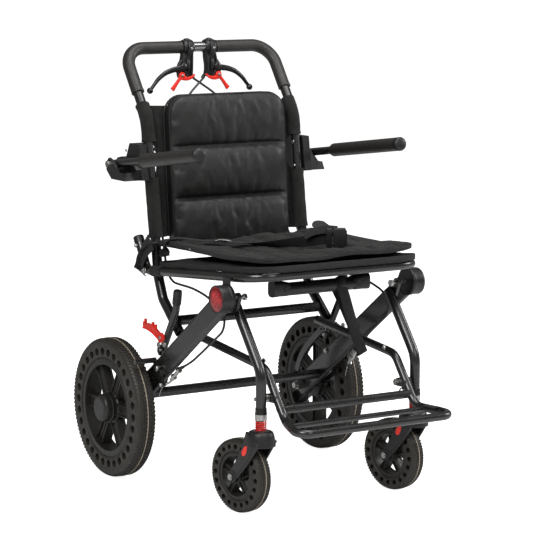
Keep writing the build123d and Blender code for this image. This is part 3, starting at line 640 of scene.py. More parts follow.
def make_sidewall(wheel, half_width, radii):
    """Thin moulded steps round the tyre's sidewalls."""
    shell = Shell()
    for out in (1, -1):
        for r in radii:
            bead = [(out * (half_width + step), r + rise) for step, rise in SIDEWALL_BEAD]
            shell.band(bead, wheel.centre, wheel.axis, 96)
    shell.piece(f"{wheel.name}_sidewall", "tyre_rubber", wheel.name)


def make_rear_wheel(side, sign):
    """Tread, rim trim and a faceted hub cap."""
    wheel = Wheel("rear", side, 0)
    half_width, block = 0.0215, 0.0062
    columns = [k * block for k in (-2, -1, -0.001, 1, 2)] + [-0.0182, 0.0182]
    make_tread(wheel, half_width, shoulder=0.009, pitches=104, columns=columns, block=block)
    make_sidewall(wheel, half_width, (0.1115, 0.1385))
    make_rim_trim(
        wheel, rim_r=0.108, well_r=0.097, face=0.019, spokes=6, spoke_half=0.013, thick=0.014, hub_r=0.030,
        start=pi / 2 if sign > 0 else 0,
    )
    cap = Shell()
    face_x = (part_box(f"rear_rim_{side}")[1 if sign > 0 else 0].x - wheel.centre.x) * sign
    facets = [
        (0.0165, 0.0312), (face_x - 0.0075, 0.0312), (face_x - 0.001, 0.0235), (face_x + 0.0004, 0.0225),
        (face_x + 0.0006, 0.0001),
    ]
    cap.lathe(facets, wheel.centre, X_AXIS * sign, 10)
    flange = [(0.0160, 0.0330), (0.0185, 0.0334), (0.0200, 0.0318), (0.0200, 0.02)]
    cap.band(flange, wheel.centre, X_AXIS * sign, 48)
    cap.piece(f"{wheel.name}_hub_cap", "black_plastic", wheel.name, sharp=12)


def make_front_wheel(side):
    """Tread and rim trim of a caster wheel, which stands turned with its fork."""
    wheel = Wheel("front", side, CASTER_ANGLE)
    wheel.radius = CASTER_RADIUS
    half_width, block = 0.017, 0.0052
    columns = [k * block for k in (-1, -0.001, 1)] + [-0.0125, 0.0125]
    make_tread(wheel, half_width, shoulder=0.008, pitches=74, columns=columns, block=block)
    make_sidewall(wheel, half_width, (0.0535, 0.0705))
    make_rim_trim(
        wheel, rim_r=0.050, well_r=0.044, face=0.014, spokes=5, spoke_half=0.0065, thick=0.012, hub_r=0.014,
        start=pi / 2,
    )
    hub = Shell()
    ring = ((0.0155, 0.0165), (0.0175, 0.0160), (0.0185, 0.0148), (0.0185, 0.006))
    for out in (1, -1):
        hub.band([(out * along, r) for along, r in ring], wheel.centre, wheel.axis)
    hub.piece(f"{wheel.name}_hub_rings", "rim_plastic", wheel.name)


# ---- casters ------------------------------------------------------------------------
FORK_HALF = 0.0235  # from the wheel's middle to the middle of a fork arm
FORK_CROWN = (  # along the stem, radius
    (0.0002, 0.007), (0.0002, 0.0215), (-0.0014, 0.0246), (-0.0045, 0.0264), (-0.0085, 0.0278),
    (-0.0140, 0.0290), (-0.0210, 0.0300), (-0.0270, 0.0308), (-0.0300, 0.0312), (-0.0312, 0.0304),
    (-0.0312, 0.0280), (-0.0260, 0.0270), (-0.020, 0.0258), (-0.0195, 0.007),
)
AXLE_BOSS = ((0.0018, 0.0135), (0.0044, 0.0128), (0.0046, 0.0105), (0.0036, 0.0100), (0.0036, 0.004))
SPRING_WASHER = ((0.0002, 0.0070), (0.0002, 0.0165), (0.0014, 0.0168), (0.0018, 0.0150), (0.0018, 0.0070))
LEG_CRIMP = (
    (0.0135, 0.0113), (0.011, 0.0121), (0.004, 0.0121), (0.002, 0.0128), (-0.0008, 0.0128), (-0.0012, 0.0114),
)


def make_fork(side):
    """A moulded hood round the steering stem that runs down into two tapering arms."""
    body = f"caster_{side}"
    stem = middle(f"caster_stem_{side}")
    axle = middle(f"front_axle_{side}")
    across = Matrix.Rotation(CASTER_ANGLE, 3, "Z") @ X_AXIS
    centre = Vector((stem.x, stem.y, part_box(f"fork_{side}")[1].z))
    back = Vector((axle.x - stem.x, axle.y - stem.y, 0))
    shell, inlays, nuts = Shell(), Shell(), Shell()
    shell.lathe(FORK_CROWN, centre, Z_AXIS, 56, closed=True)

    def arm(share):
        width = 0.046 - 0.024 * min(1, share / 0.70) ** 0.9
        if share > 0.86:
            width *= sqrt(max(0.05, 1 - ((share - 0.86) / 0.15) ** 2))
        return box_section(0.0068 - 0.001 * share, width, 0.0026)

    for out in (across, -across):
        top, end = centre + out * FORK_HALF, axle + out * FORK_HALF
        start = top - Z_AXIS * 0.012
        knee = start.lerp(end, 0.45) - back * 0.06 - Z_AXIS * 0.004
        path = smooth_path([start - back * 0.03, knee, end, end + (end - knee).normalized() * 0.010], 10)
        shell.sweep(path, arm, up=back)
        edge = [start.lerp(end, 0.24) - back * 0.27, knee - back * 0.23, end - back * 0.17]
        rib = smooth_path([q + out * 0.0030 for q in edge])
        shell.sweep(rib, round_section(0.0013, 8), up=across)
        shell.band(AXLE_BOSS, end, out, 36)
        run = (end - top).normalized()
        wide = run.cross(across).normalized()
        spot = top.lerp(end, 0.40) - back * 0.06 + out * 0.0030
        foot, upper = [], []
        for k in range(28):
            turn = tau * k / 28
            place = run * (0.0135 * cos(turn)) + wide * (0.0062 * sin(turn) * (1 + 0.3 * cos(turn)))
            foot.append(spot + place)
            upper.append(spot + place * 0.86 + out * 0.0012)
        inlays.add(upper, [tuple(range(28))])
        inlays.rings([foot, upper], caps=False)
        dome(nuts, end + out * 0.0038, out, 0.0062, 0.0034)
    shell.piece(f"fork_moulding_{side}", "black_plastic", body, [f"fork_{side}"], sharp=40)
    inlays.piece(f"fork_inlays_{side}", "red_plastic", body)
    nuts.piece(f"front_axle_domes_{side}", "zinc", body)
    washer, crimp = Shell(), Shell()
    washer.band(SPRING_WASHER, centre, Z_AXIS)
    washer.piece(f"spring_washer_{side}", "zinc", body)
    crimp.band(LEG_CRIMP, Vector((stem.x, stem.y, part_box("stem_collars")[1].z)), Z_AXIS)
    crimp.piece(f"leg_crimp_{side}", "black_paint", "front_frame")


def make_spring(side):
    """The red coil between the leg's crimped end and the fork."""
    low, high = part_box(f"front_spring_{side}")
    wire, turns, steps = 0.0013, 5.5, 28
    radius = (high.x - low.x) / 2 - wire
    centre = (low + high) / 2
    path = []
    for k in range(int(turns * steps) + 1):
        share = k / (turns * steps)
        turn = tau * turns * share
        rise = low.z + wire + (high.z - low.z - 2 * wire) * share
        path.append(Vector((centre.x + radius * cos(turn), centre.y + radius * sin(turn), rise)))
    coil = Shell().sweep(path, round_section(wire, 10)).piece(
        f"spring_coil_{side}", "red_spring", "front_frame", [f"front_spring_{side}"], sharp=60
    )
    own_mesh(coil)


# ---- handle, grips and brake levers -------------------------------------------------
BAR = (0.100, 0.936)  # the handle bar's middle, in the side view
TUBE_R = 0.011
BARE_HALF = 0.0235
GRIP_INNER = 0.046
GRIP_RING = ((-0.001, 0.0112), (-0.0018, 0.0136), (0.0, 0.0146), (0.003, 0.0142))  # along, radius
GRIP_END_RING = ((-0.004, 0.0142), (-0.0005, 0.0148), (0.0014, 0.0142), (0.0016, 0.0115))
CLAMP_X = 0.029
CLAMP = (  # along the bar, radius
    (-0.0130, 0.0116), (-0.0130, 0.0148), (-0.0105, 0.0166), (-0.0060, 0.0172), (-0.0052, 0.0164),
    (-0.0030, 0.0164), (-0.0022, 0.0174), (0.0060, 0.0174), (0.0105, 0.0166), (0.0130, 0.0148),
    (0.0130, 0.0116),
)
LEVER_Y = 0.0878
LOCK_Y = 0.0882


def make_handle_bar():
    """The bare bright middle of the bar, its end collars and the grips' rolled ends."""
    skin_r = TUBE_R + 0.0004
    sleeve = [(-BARE_HALF, TUBE_R), (-BARE_HALF, skin_r), (BARE_HALF, skin_r), (BARE_HALF, TUBE_R)]
    Shell().band(sleeve, at(0, *BAR), X_AXIS, 48).piece("handle_bare_middle", "chrome", "back_frame")
    rings = Shell()
    for _, sign in SIDES:
        rings.band(GRIP_RING, at(sign * GRIP_INNER, *BAR), X_AXIS * sign)
        low = at(sign * 0.192, 0.034, 0.8435)
        down = (at(sign * 0.192, -0.003, 0.790) - low).normalized()
        rings.band(GRIP_END_RING, low, down)
    rings.piece("grip_end_rings", "foam", "back_frame")


def make_lever_housing():
    """Two broad clamps round the bar, with housings that taper down from them."""
    shell, screws = Shell(), Shell()

    def body(share):
        swell = 1.06 - 0.10 * share + 0.08 * sin(pi * share * 1.4)
        return [(x * swell, y * (1.05 - 0.10 * share)) for x, y in box_section(0.0280, 0.0175, 0.0068)]

    def boss(share):
        return round_section(0.0052 * sqrt(max(0.06, sin(pi * share))), 14, 0.6)

    def ear(share):
        return box_section(0.0185 - 0.006 * share, 0.0090, 0.0035)

    for _, sign in SIDES:
        shell.lathe(CLAMP, at(sign * CLAMP_X, *BAR), X_AXIS, 48, closed=True)
        dome(shell, at(sign * CLAMP_X, 0.100, 0.9515), Z_AXIS, 0.0085, 0.0045)
        spine = (
            (0.029, 0.0985, 0.930), (0.030, 0.0985, 0.914), (0.0325, 0.099, 0.897), (0.0315, 0.0995, 0.882),
            (0.028, 0.100, 0.8675),
        )
        shell.sweep(route(sign, spine), body, up=Y_AXIS)
        for edge in (-1, 1):
            ridge = (
                (0.030 + edge * 0.0105, 0.0905, 0.921), (0.032 + edge * 0.0115, 0.0890, 0.902),
                (0.031 + edge * 0.0100, 0.0890, 0.884), (0.028 + edge * 0.0070, 0.0905, 0.870),
            )
            shell.sweep(route(sign, ridge), round_section(0.0024, 10), up=Y_AXIS)
        swelling = ((0.031, 0.0885, 0.911), (0.032, 0.0870, 0.898), (0.030, 0.0885, 0.882))
        shell.sweep(route(sign, swelling), boss, up=Y_AXIS)
        outer = [(x, 0.0955, z) for x, z in ((0.036, 0.906), (0.046, 0.898), (0.051, 0.884), (0.049, 0.869))]
        shell.sweep(route(sign, outer), ear, up=Y_AXIS)
        tab = ((0.029, 0.0835, 0.944), (0.029, 0.0800, 0.934), (0.029, 0.0840, 0.920))
        shell.sweep(route(sign, tab, 4), box_section(0.0140, 0.0075, 0.0028), up=Y_AXIS)
        adjuster = at(sign * 0.016, 0.100, 0.870)
        down = (at(-sign * 0.038, 0.084, 0.830) - adjuster).normalized()
        shell.lathe([(-0.006, 0.0038), (0.002, 0.0042), (0.003, 0.0035), (0.007, 0.0032)], adjuster, down, 20)
        dome(screws, at(sign * 0.029, 0.0762, 0.934), -Y_AXIS, 0.0032, 0.0014)
        dome(screws, at(sign * 0.048, 0.0840, 0.873), -Y_AXIS, 0.0034, 0.0018)
    shell.piece("lever_housing_mouldings", "black_plastic", "back_frame", ["brake_lever_housings"], sharp=45)
    screws.piece("lever_housing_screws", "zinc", "back_frame")


def make_hand_lever(side, sign):
    """A glossy curved blade that thins towards its ball end."""
    places = (
        (0.038, 0.8955), (0.054, 0.8890), (0.072, 0.8860), (0.092, 0.8790), (0.110, 0.8660), (0.123, 0.8510),
        (0.131, 0.8415),
    )
    path = route(sign, [(x, LEVER_Y, z) for x, z in places], 8)
    ball_r = 0.0072

    def blade(share):
        width = 0.0074 - 0.0036 * min(1, share * 1.25) + 0.0006 * sin(pi * share)
        return [(x * width, z * 0.0037) for x, z in round_section(1, 16)]

    shell = Shell().sweep(path, blade, up=Y_AXIS)
    turns = [pi * k / 12 for k in range(13)]
    shell.lathe([(-cos(a) * ball_r, max(0.0001, sin(a) * ball_r)) for a in turns], path[-1], Y_AXIS, 28)
    boss = [(-0.0045, 0.0001), (-0.0045, 0.0074), (-0.0032, 0.0088), (0.0030, 0.0088), (0.0030, 0.0001)]
    shell.lathe(boss, at(sign * 0.045, LEVER_Y, 0.8925), Y_AXIS, 32)
    name, node = f"hand_lever_blade_{side}", f"hand_brake_lever_{side}"
    shell.piece(name, "lever_black", f"hand_lever_{side}", [node], sharp=50)


def make_park_lock(side, sign):
    """The red catch: a plate along the housing's foot, a rivet boss and a square-ended finger arm."""
    finger = ((0.046, 0.8755), (0.053, 0.8665), (0.061, 0.8570), (0.0695, 0.8460), (0.0735, 0.8415))
    plate = ((0.051, 0.8700), (0.042, 0.8665), (0.032, 0.8655), (0.022, 0.8690), (0.015, 0.8745))

    def arm(share):
        return box_section(0.0100 - 0.0030 * sin(pi * min(1, share * 1.2)), 0.0060, 0.0016)

    def strip(share):
        return box_section(0.0125 - 0.0095 * share, 0.0056, 0.0012)

    shell = Shell()
    for places, section in ((finger, arm), (plate, strip)):
        shell.sweep(route(sign, [(x, LOCK_Y, z) for x, z in places]), section, up=Y_AXIS)
    half = ((0.0032, 0.0001), (0.0032, 0.0066), (0.0024, 0.0074))
    hub = [(-along, r) for along, r in half] + list(reversed(half))
    shell.lathe(hub, at(sign * 0.048, LOCK_Y, 0.873), Y_AXIS, 28)
    name, node = f"park_lock_catch_{side}", f"park_lock_lever_{side}"
    shell.piece(name, "red_plastic", f"park_lock_{side}", [node], sharp=40)


# ---- soft goods ---------------------------------------------------------------------
SWELL_FRAMES = 20


def inflate(obj, held, pressure, cap, slack, voxel=0.005):
    """Swells a closed pad by cloth simulation, with some points held where they are.
    """
    remesh = obj.modifiers.new("even", "REMESH")
    remesh.mode = "VOXEL"
    remesh.voxel_size = voxel
    bake(obj)
    start = [v.co.copy() for v in obj.data.vertices]
    group = obj.vertex_groups.new(name="held")
    group.add([i for i, co in enumerate(start) if held(co)], 1.0, "REPLACE")
    cloth = obj.modifiers.new("swell", "CLOTH")
    cloth.settings.quality = 5
    cloth.settings.mass = 0.3
    cloth.settings.bending_stiffness = 0.4
    cloth.settings.shrink_min = -slack
    cloth.settings.use_pressure = True
    cloth.settings.uniform_pressure_force = pressure
    cloth.settings.effector_weights.gravity = 0
    cloth.settings.vertex_group_mass = "held"
    cloth.collision_settings.use_collision = False
    cloth.point_cache.frame_start = 1
    cloth.point_cache.frame_end = SWELL_FRAMES
    for number in range(1, SWELL_FRAMES + 1):
        scene.frame_set(number)
    bake(obj)
    scene.frame_set(1)
    for vertex, co in zip(obj.data.vertices, start):
        move = vertex.co - co
        if move.length > cap:
            vertex.co = co + move * (cap / move.length)


def bake(obj):
    """Applies an object's modifiers."""
    bpy.context.view_layer.update()
    graph = bpy.context.evaluated_depsgraph_get()
    made = bpy.data.meshes.new_from_object(obj.evaluated_get(graph))
    obj.modifiers.clear()
    obj.data = made


def sculpt(obj, shift):
    """Moves every vertex by shift(place, normal)."""
    normals = [v.normal.copy() for v in obj.data.vertices]
    for vertex, normal in zip(obj.data.vertices, normals):
        vertex.co += shift(vertex.co, normal)
    obj.data.update()


def refine(obj):
    """One round of smooth subdivision, and smooth shading."""
    modifier = obj.modifiers.new("fine", "SUBSURF")
    modifier.levels = modifier.render_levels = 1
    bake(obj)
    obj.data.shade_smooth()


def dent(distance, width):
    """A soft groove's depth share at a distance from its line."""
    return exp(-((distance / width) ** 2))


def stitches(shell, path, length, pitch, radius=0.0005):
    """A row of short threads along a path."""
    travelled, following = 0.0, 0.0

    def thread(share):
        return round_section(radius * (0.6 + 0.8 * sin(pi * share)), 6)

    for a, b in zip(path, path[1:]):
        run = b - a
        while following < travelled + run.length:
            start = a + run.normalized() * (following - travelled)
            end = start + run.normalized() * length
            shell.sweep([start, start.lerp(end, 0.5), end], thread, up=THREAD_UP)
            following += pitch
        travelled += run.length


THREAD_UP = Vector((0.3, 0.5, 0.8))  # no row of stitches runs along it
PAD_TILT = atan2(0.030, 0.326)  # how far the pad leans back over its height
PAD_THICK = 0.030
PAD_CORNER = 0.044
pad_low, pad_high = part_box("back_pad")
PAD_UP = Vector((0, sin(PAD_TILT), cos(PAD_TILT)))
PAD_OUT = Vector((0, -cos(PAD_TILT), sin(PAD_TILT)))
PAD_MIDDLE = (pad_low + pad_high) / 2 - PAD_UP * 0.004
PAD_W = (pad_high.x - pad_low.x) / 2 + 0.006
PAD_H = ((pad_high.z - pad_low.z) - PAD_THICK * sin(PAD_TILT)) / cos(PAD_TILT) / 2 + 0.008
PAD_SEAMS = (-PAD_H / 3, PAD_H / 3)
PAD_EDGE = 0.004  # the width of the rim that inflate() holds
PAD_RISE = 0.0070
PAD_GROOVE = 0.0085


def pad_point(u, v, w):
    """A point from its place across, up and out of the back pad's middle."""
    return PAD_MIDDLE + X_AXIS * u + PAD_UP * v + PAD_OUT * w


def pad_outline(inset, w, steps=8):
    """The pad's rounded outline, pulled in by inset."""
    width, height, corner = PAD_W - inset, PAD_H - inset, PAD_CORNER - inset
    return [pad_point(x, y, w) for x, y in box_section(2 * width, 2 * height, corner, steps)]


def pad_local(co):
    """A point's place across, up and out of the back pad's middle."""
    away = co - PAD_MIDDLE
    return away.x, away.dot(PAD_UP), away.dot(PAD_OUT)


def seam_reach(v):
    """The distance to the nearest cross seam of the back pad."""
    return min(abs(v - s) for s in PAD_SEAMS)


PAD_FOLDS = (  # across, up, depth, half width, lean
    (-0.060, 0.105, 0.0022, 0.011, 0.20), (-0.025, 0.115, 0.0019, 0.008, -0.25),
    (0.018, 0.100, 0.0016, 0.010, 0.12), (0.052, 0.118, 0.0018, 0.009, -0.20),
    (-0.095, 0.095, 0.0012, 0.011, 0.05), (0.010, -0.105, 0.0017, 0.009, 0.06),
    (0.040, -0.115, 0.0024, 0.008, -0.10), (0.070, -0.108, 0.0024, 0.009, -0.05),
    (-0.045, -0.118, 0.0013, 0.011, 0.08), (-0.100, -0.010, 0.0012, 0.010, 0.30),
    (0.085, 0.012, 0.0013, 0.012, -0.30), (0.104, 0.090, 0.0014, 0.010, 0.15),
)


def make_back_pad():
    """Three leatherette panels, swelled apart by two deep seams, with piping and stitches."""
    half = PAD_THICK / 2 - 0.002
    shell = Shell()
    arc = [pi / 2 * k / 6 for k in range(7)]
    levels = [PAD_H - PAD_CORNER * (1 - sin(a)) for a in arc]
    rings = []
    for v in [-v for v in reversed(levels)] + levels:
        beyond = max(0.0, abs(v) - (PAD_H - PAD_CORNER))
        width = PAD_W - PAD_CORNER + sqrt(max(1e-9, PAD_CORNER**2 - beyond**2))
        rings.append([pad_point(x, v, w) for x, w in box_section(2 * width, 2 * half, 0.004)])
    shell.rings(rings)
    pad = shell.raw("back_pad_cover")

    def held(co):
        u, v, w = pad_local(co)
        edge = abs(u) > PAD_W - PAD_EDGE or abs(v) > PAD_H - PAD_EDGE
        return w < half - 0.006 or edge or (seam_reach(v) < 0.003 and abs(u) < PAD_W - 0.010)

    def puff(co, normal):
        u, v, w = pad_local(co)
        if w < 0:
            return Vector()
        edge = max(0.0, min(PAD_W - abs(u), PAD_H - abs(v)))
        rise = min(1.0, seam_reach(v) / 0.024) ** 0.5 * min(1.0, edge / 0.016) ** 0.5
        groove = dent(seam_reach(v), 0.0034) * min(1, max(0.0, PAD_W - 0.006 - abs(u)) / 0.010)
        return PAD_OUT * (PAD_RISE * rise - PAD_GROOVE * groove)

    def crease(co, normal):
        u, v, w = pad_local(co)
        if w < 0.004:
            return Vector()
        depth = sum(
            size * dent(u - u0 - lean * (v - v0) - 0.003 * sin(v * 90 + u0 * 50), wide) * dent(v - v0, 0.045)
            for u0, v0, size, wide, lean in PAD_FOLDS
        )
        gather = dent(seam_reach(v) - 0.006, 0.016)
        ripple = 0.0009 * noise.noise(Vector((u * 50, v * 9, 3))) * gather
        drift = 0.0010 * noise.noise(Vector((u * 14, v * 10, 8)))
        return normal * (ripple + drift - depth)

    inflate(pad, held, pressure=5.0, cap=0.011, slack=0.015)
    sculpt(pad, puff)
    refine(pad)
    sculpt(pad, crease)
    settle(pad, "leatherette", "back_frame", ["back_pad"])

    piping = Shell()
    piping.sweep(pad_outline(0.0004, -half), round_section(0.0022, 12), up=PAD_OUT, closed=True)
    piping.sweep(pad_outline(0.0006, half - 0.003), round_section(0.0014, 10), up=PAD_OUT, closed=True)
    piping.piece("back_pad_piping", "leatherette", "back_frame", sharp=60)
    threads = Shell()
    for w in (half - 0.0055, 0.0045 - half):
        path = pad_outline(-0.0003, w)
        stitches(threads, path + path[:1], 0.0030, 0.0048)
    for s in PAD_SEAMS:
        path = [pad_point(u * (PAD_W - 0.014), s, half - 0.0032) for u in (-1, -0.5, 0, 0.5, 1)]
        stitches(threads, path, 0.0030, 0.0046, 0.0004)
    threads.piece("back_pad_stitches", "thread", "back_frame", sharp=60)


POST_LOW = (-0.055, 0.446)  # the foot of a back post, in the side view
POST_KNEE = (-0.003, 0.790)  # where it bends back
POST_X = 0.192
SLEEVES = ((0.530, 0.660), (0.738, 0.817))  # the low and high end of each fabric sleeve on a post
SLEEVE_R = 0.0138
SLEEVE_STITCH_R = 0.0146
SLING_FLAT = 0.140  # the sling is flat as far out as this, behind the pad


def post_point(sign, z):
    """The middle of a back post at a height."""
    bend = 0.0
    if z > POST_KNEE[1] - 0.02:
        bend = 0.45 * (z - POST_KNEE[1] + 0.02) ** 2 / 0.056
    share = (z - POST_LOW[1]) / (POST_KNEE[1] - POST_LOW[1])
    return at(sign * POST_X, POST_LOW[0] + (POST_KNEE[0] - POST_LOW[0]) * share + bend, z)


def sling_edge(z):
    """How far the panel reaches from the middle: it is cut away beside the armrests."""
    full = POST_X - TUBE_R + 0.001
    gap_low, gap_high = SLEEVES[0][1], SLEEVES[1][0]
    if z <= gap_low or z >= gap_high:
        return full
    return full - 0.014 * sin(pi * (z - gap_low) / (gap_high - gap_low)) ** 0.45


def panel_y(x, z):
    """The panel's front face: flat behind the pad, and pleated where it turns to the posts."""
    back = (PAD_MIDDLE - PAD_OUT * (PAD_THICK / 2 + 0.0015)).y + (z - PAD_MIDDLE.z) * PAD_UP.y / PAD_UP.z
    reach = max(0.0, min(1.0, (abs(x) - SLING_FLAT) / 0.041))
    post = post_point(1, z).y + 0.004
    pleat = 0.0022 * sin((abs(x) - SLING_FLAT) * 260) * min(1, reach * 4)
    wrinkle = pleat + 0.0022 * noise.noise(Vector((x * 34, z * 16, 1.7))) * min(1, reach * 6)
    return back + (post - back) * reach * reach * (3 - 2 * reach) + wrinkle


def add_sleeve(shell, sign, low, high):
    """A rumpled fabric tube round a back post, with a lip at each end."""
    steps, around = 22, 28
    path = [post_point(sign, low + (high - low) * k / steps) for k in range(steps + 1)]
    outer = []
    for k, here in enumerate(path):
        run = (path[min(k + 1, steps)] - path[max(k - 1, 0)]).normalized()
        fore = run.cross(run.cross(Y_AXIS).normalized())
        lip = 0.0006 if k in (0, 1, steps - 1, steps) else 0.0
        ring = []
        for turn in (tau * j / around for j in range(around)):
            rumple = 0.0009 * noise.noise(Vector((cos(turn) * 1.3, sin(turn) * 1.3, here.z * 60 + sign)))
            pull = 0.004 * max(0.0, -sign * cos(turn)) ** 3
            ring.append(here + (X_AXIS * cos(turn) + fore * sin(turn)) * (SLEEVE_R + rumple + pull + lip))
        outer.append(ring)
    inner = [[p.lerp(c, 0.14) for p in ring] for ring, c in zip(outer, path)]
    shell.rings(outer + inner[::-1], closed=True)


def make_back_sling():
    """A taut panel behind the pad, sewn round each post above and below the armrest."""
    low_z, high_z = SLEEVES[0][0], SLEEVES[1][1] - 0.004
    rows, columns = 44, 48
    thick = 0.0022
    rings = []
    for i in range(rows + 1):
        z = low_z + (high_z - low_z) * i / rows
        xs = [sling_edge(z) * (2 * k / columns - 1) for k in range(columns + 1)]
        front = [Vector((x, panel_y(x, z), z)) for x in xs]
        rings.append(front + [p + Vector((0, thick, 0)) for p in reversed(front)])
    panel = Shell().rings(rings)
    panel = panel.piece("back_sling_panel", "seat_fabric", "back_frame", ["back_sling"], sharp=50)
    sleeves, threads, hems = Shell(), Shell(), Shell()
    for _, sign in SIDES:
        for low, high in SLEEVES:
            add_sleeve(sleeves, sign, low, high)
            for z in (low + 0.004, high - 0.004):
                turns = [tau * k / 20 for k in range(21)]
                ring = [post_point(sign, z) + Vector((cos(a), sin(a), 0)) * SLEEVE_STITCH_R for a in turns]
                stitches(threads, ring, 0.0026, 0.0042, 0.0004)
    sleeve_piece = sleeves.piece("back_sling_sleeves", "seat_fabric", "back_frame", sharp=60)
    for _, sign in SIDES:
        for x in (0.157, 0.166):
            heights = [low_z + 0.004 + k * 0.0146 for k in range(20)]
            path = [Vector((sign * x, panel_y(x, z) - 0.0004, z)) for z in heights]
            stitches(threads, path, 0.0030, 0.0048, 0.0004)
        heights = [0.646 + k * 0.0049 for k in range(21)]
        edge = [(sling_edge(z), z) for z in heights]
        side_hem = [Vector((sign * x, panel_y(x, z) + thick / 2, z)) for x, z in edge]
        hems.sweep(side_hem, round_section(0.0018, 8), up=Y_AXIS)
    for z in (low_z, high_z):
        across = [0.180 * (k / 12 - 1) for k in range(25)]
        path = [Vector((x, panel_y(x, z) + thick / 2, z)) for x in across]
        hems.sweep(path, round_section(0.0019, 8), up=Z_AXIS)
    hem_piece = hems.piece("back_sling_hems", "webbing", "back_frame", sharp=60)
    thread_piece = threads.piece("back_sling_stitches", "thread", "back_frame", sharp=60)


SEAT_HALF = 0.212
CHANNELS = 7  # lengthwise, in the loose mat


def side_curve(points, y):
    """The height of a smooth side-view curve at a distance behind the axle."""
    for (y0, z0), (y1, z1) in zip(points, points[1:]):
        if y0 <= y <= y1 or y1 <= y <= y0:
            t = (y - y0) / (y1 - y0)
            return z0 + (z1 - z0) * t * t * (3 - 2 * t)
    return points[0][1] if abs(y - points[0][0]) < abs(y - points[-1][0]) else points[-1][1]


# Surfaces in the side view, from front to rear; ends and plan corners, front then rear.
MAT_TOP = [(-0.488, 0.5385), (-0.445, 0.5400), (-0.330, 0.5340), (-0.200, 0.5325), (-0.076, 0.5325)]
LAYER_TOP = [(-0.490, 0.5185), (-0.440, 0.5180), (-0.382, 0.5120), (-0.221, 0.4985), (-0.088, 0.4870)]
LAYER_BASE = [(-0.490, 0.5095), (-0.382, 0.5000), (-0.221, 0.4855), (-0.088, 0.4735)]
MAT_ENDS = (-0.484, -0.062)
MAT_CORNERS = (0.062, 0.018)
LAYER_ENDS = (-0.490, -0.088)
LAYER_CORNERS = (0.055, 0.016)
FRONT_TUBE = (-0.482, 0.497)  # the middle of the front hem's curl, near the seat tube's own
RAIL_X = 0.2135


def rail_height(y):
    """The height of a seat rail's middle."""
    return 0.459 + 0.039 * (-0.044 - y) / 0.434


def mat_thickness(x, y):
    """The loose mat is thin at its edges and front lip, and thicker under the sitter."""
    sides = 1 - 0.40 * (abs(x) / SEAT_HALF) ** 4
    front = 1 - 0.25 * max(0.0, min(1.0, (-0.38 - y) / 0.09))
    return 0.0175 * sides * front


def mat_lift(x, y):
    """How the loose mat sags in the middle, curls at its sides and lifts at one front corner."""
    wave = 0.0022 * sin(x * 17 + 0.6) + 0.0016 * sin(x * 41 + y * 12)
    back = max(0.0, min(1.0, (y + 0.478) / 0.07))
    sag = -0.0135 * (1 - (x / SEAT_HALF) ** 2) * back
    rear_side = 0.004 * max(0.0, (-x - 0.12) / 0.092) ** 2 * max(0.0, min(1.0, (y + 0.30) / 0.15))
    corner = 0.004 * max(0.0, (x - 0.10) / 0.11) ** 2 * max(0.0, (-0.40 - y) / 0.08)
    droop = -0.010 * max(0.0, (abs(x) - 0.14) / 0.07) ** 2 * max(0.0, (y + 0.14) / 0.078) ** 2
    return wave + sag + rear_side + corner + droop


def slab(name, top, base, half, ends, corners, columns=60, rows=60):
    """A closed slab between two surfaces, with rounded plan corners at its front and rear."""
    rings = []
    for i in range(rows + 1):
        y = ends[0] + (ends[1] - ends[0]) * i / rows
        reach = half
        for away, corner in ((y - ends[0], corners[0]), (ends[1] - y, corners[1])):
            if away < corner:
                reach = half - corner + sqrt(max(1e-9, corner**2 - (corner - away) ** 2))
        xs = [reach * (2 * k / columns - 1) for k in range(columns + 1)]
        upper = [at(x, y, top(x, y)) for x in xs]
        lower = [at(x, y, base(x, y)) for x in reversed(xs)]
        rings.append(upper + lower)
    return Shell().rings(rings).raw(name)


def plan_outline(half, ends, corners, spacing=0.012, steps=8):
    """The plan edge of such a slab, as closely spaced (x, y) points."""
    outline = []
    turns = ((-1, 0, pi), (1, 0, 1.5 * pi), (1, 1, 0.0), (-1, 1, 0.5 * pi))
    for side, end, start in turns:
        corner = corners[end]
        cx, cy = side * (half - corner), ends[end] + corner * (-1 if end else 1)
        for k in range(steps + 1):
            turn = start + pi / 2 * k / steps
            outline.append((cx + corner * cos(turn), cy + corner * sin(turn)))
    fine = []
    for (xa, ya), (xb, yb) in zip(outline, outline[1:] + outline[:1]):
        count = max(1, int(hypot(xb - xa, yb - ya) / spacing))
        fine += [(xa + (xb - xa) * k / count, ya + (yb - ya) * k / count) for k in range(count)]
    return fine


def mat_top(x, y):
    """The loose mat's upper surface before it is swelled."""
    return side_curve(MAT_TOP, y) + mat_lift(x, y) - 0.002


def mat_base(x, y):
    """Its lower surface."""
    return mat_top(x, y) - mat_thickness(x, y) + 0.003


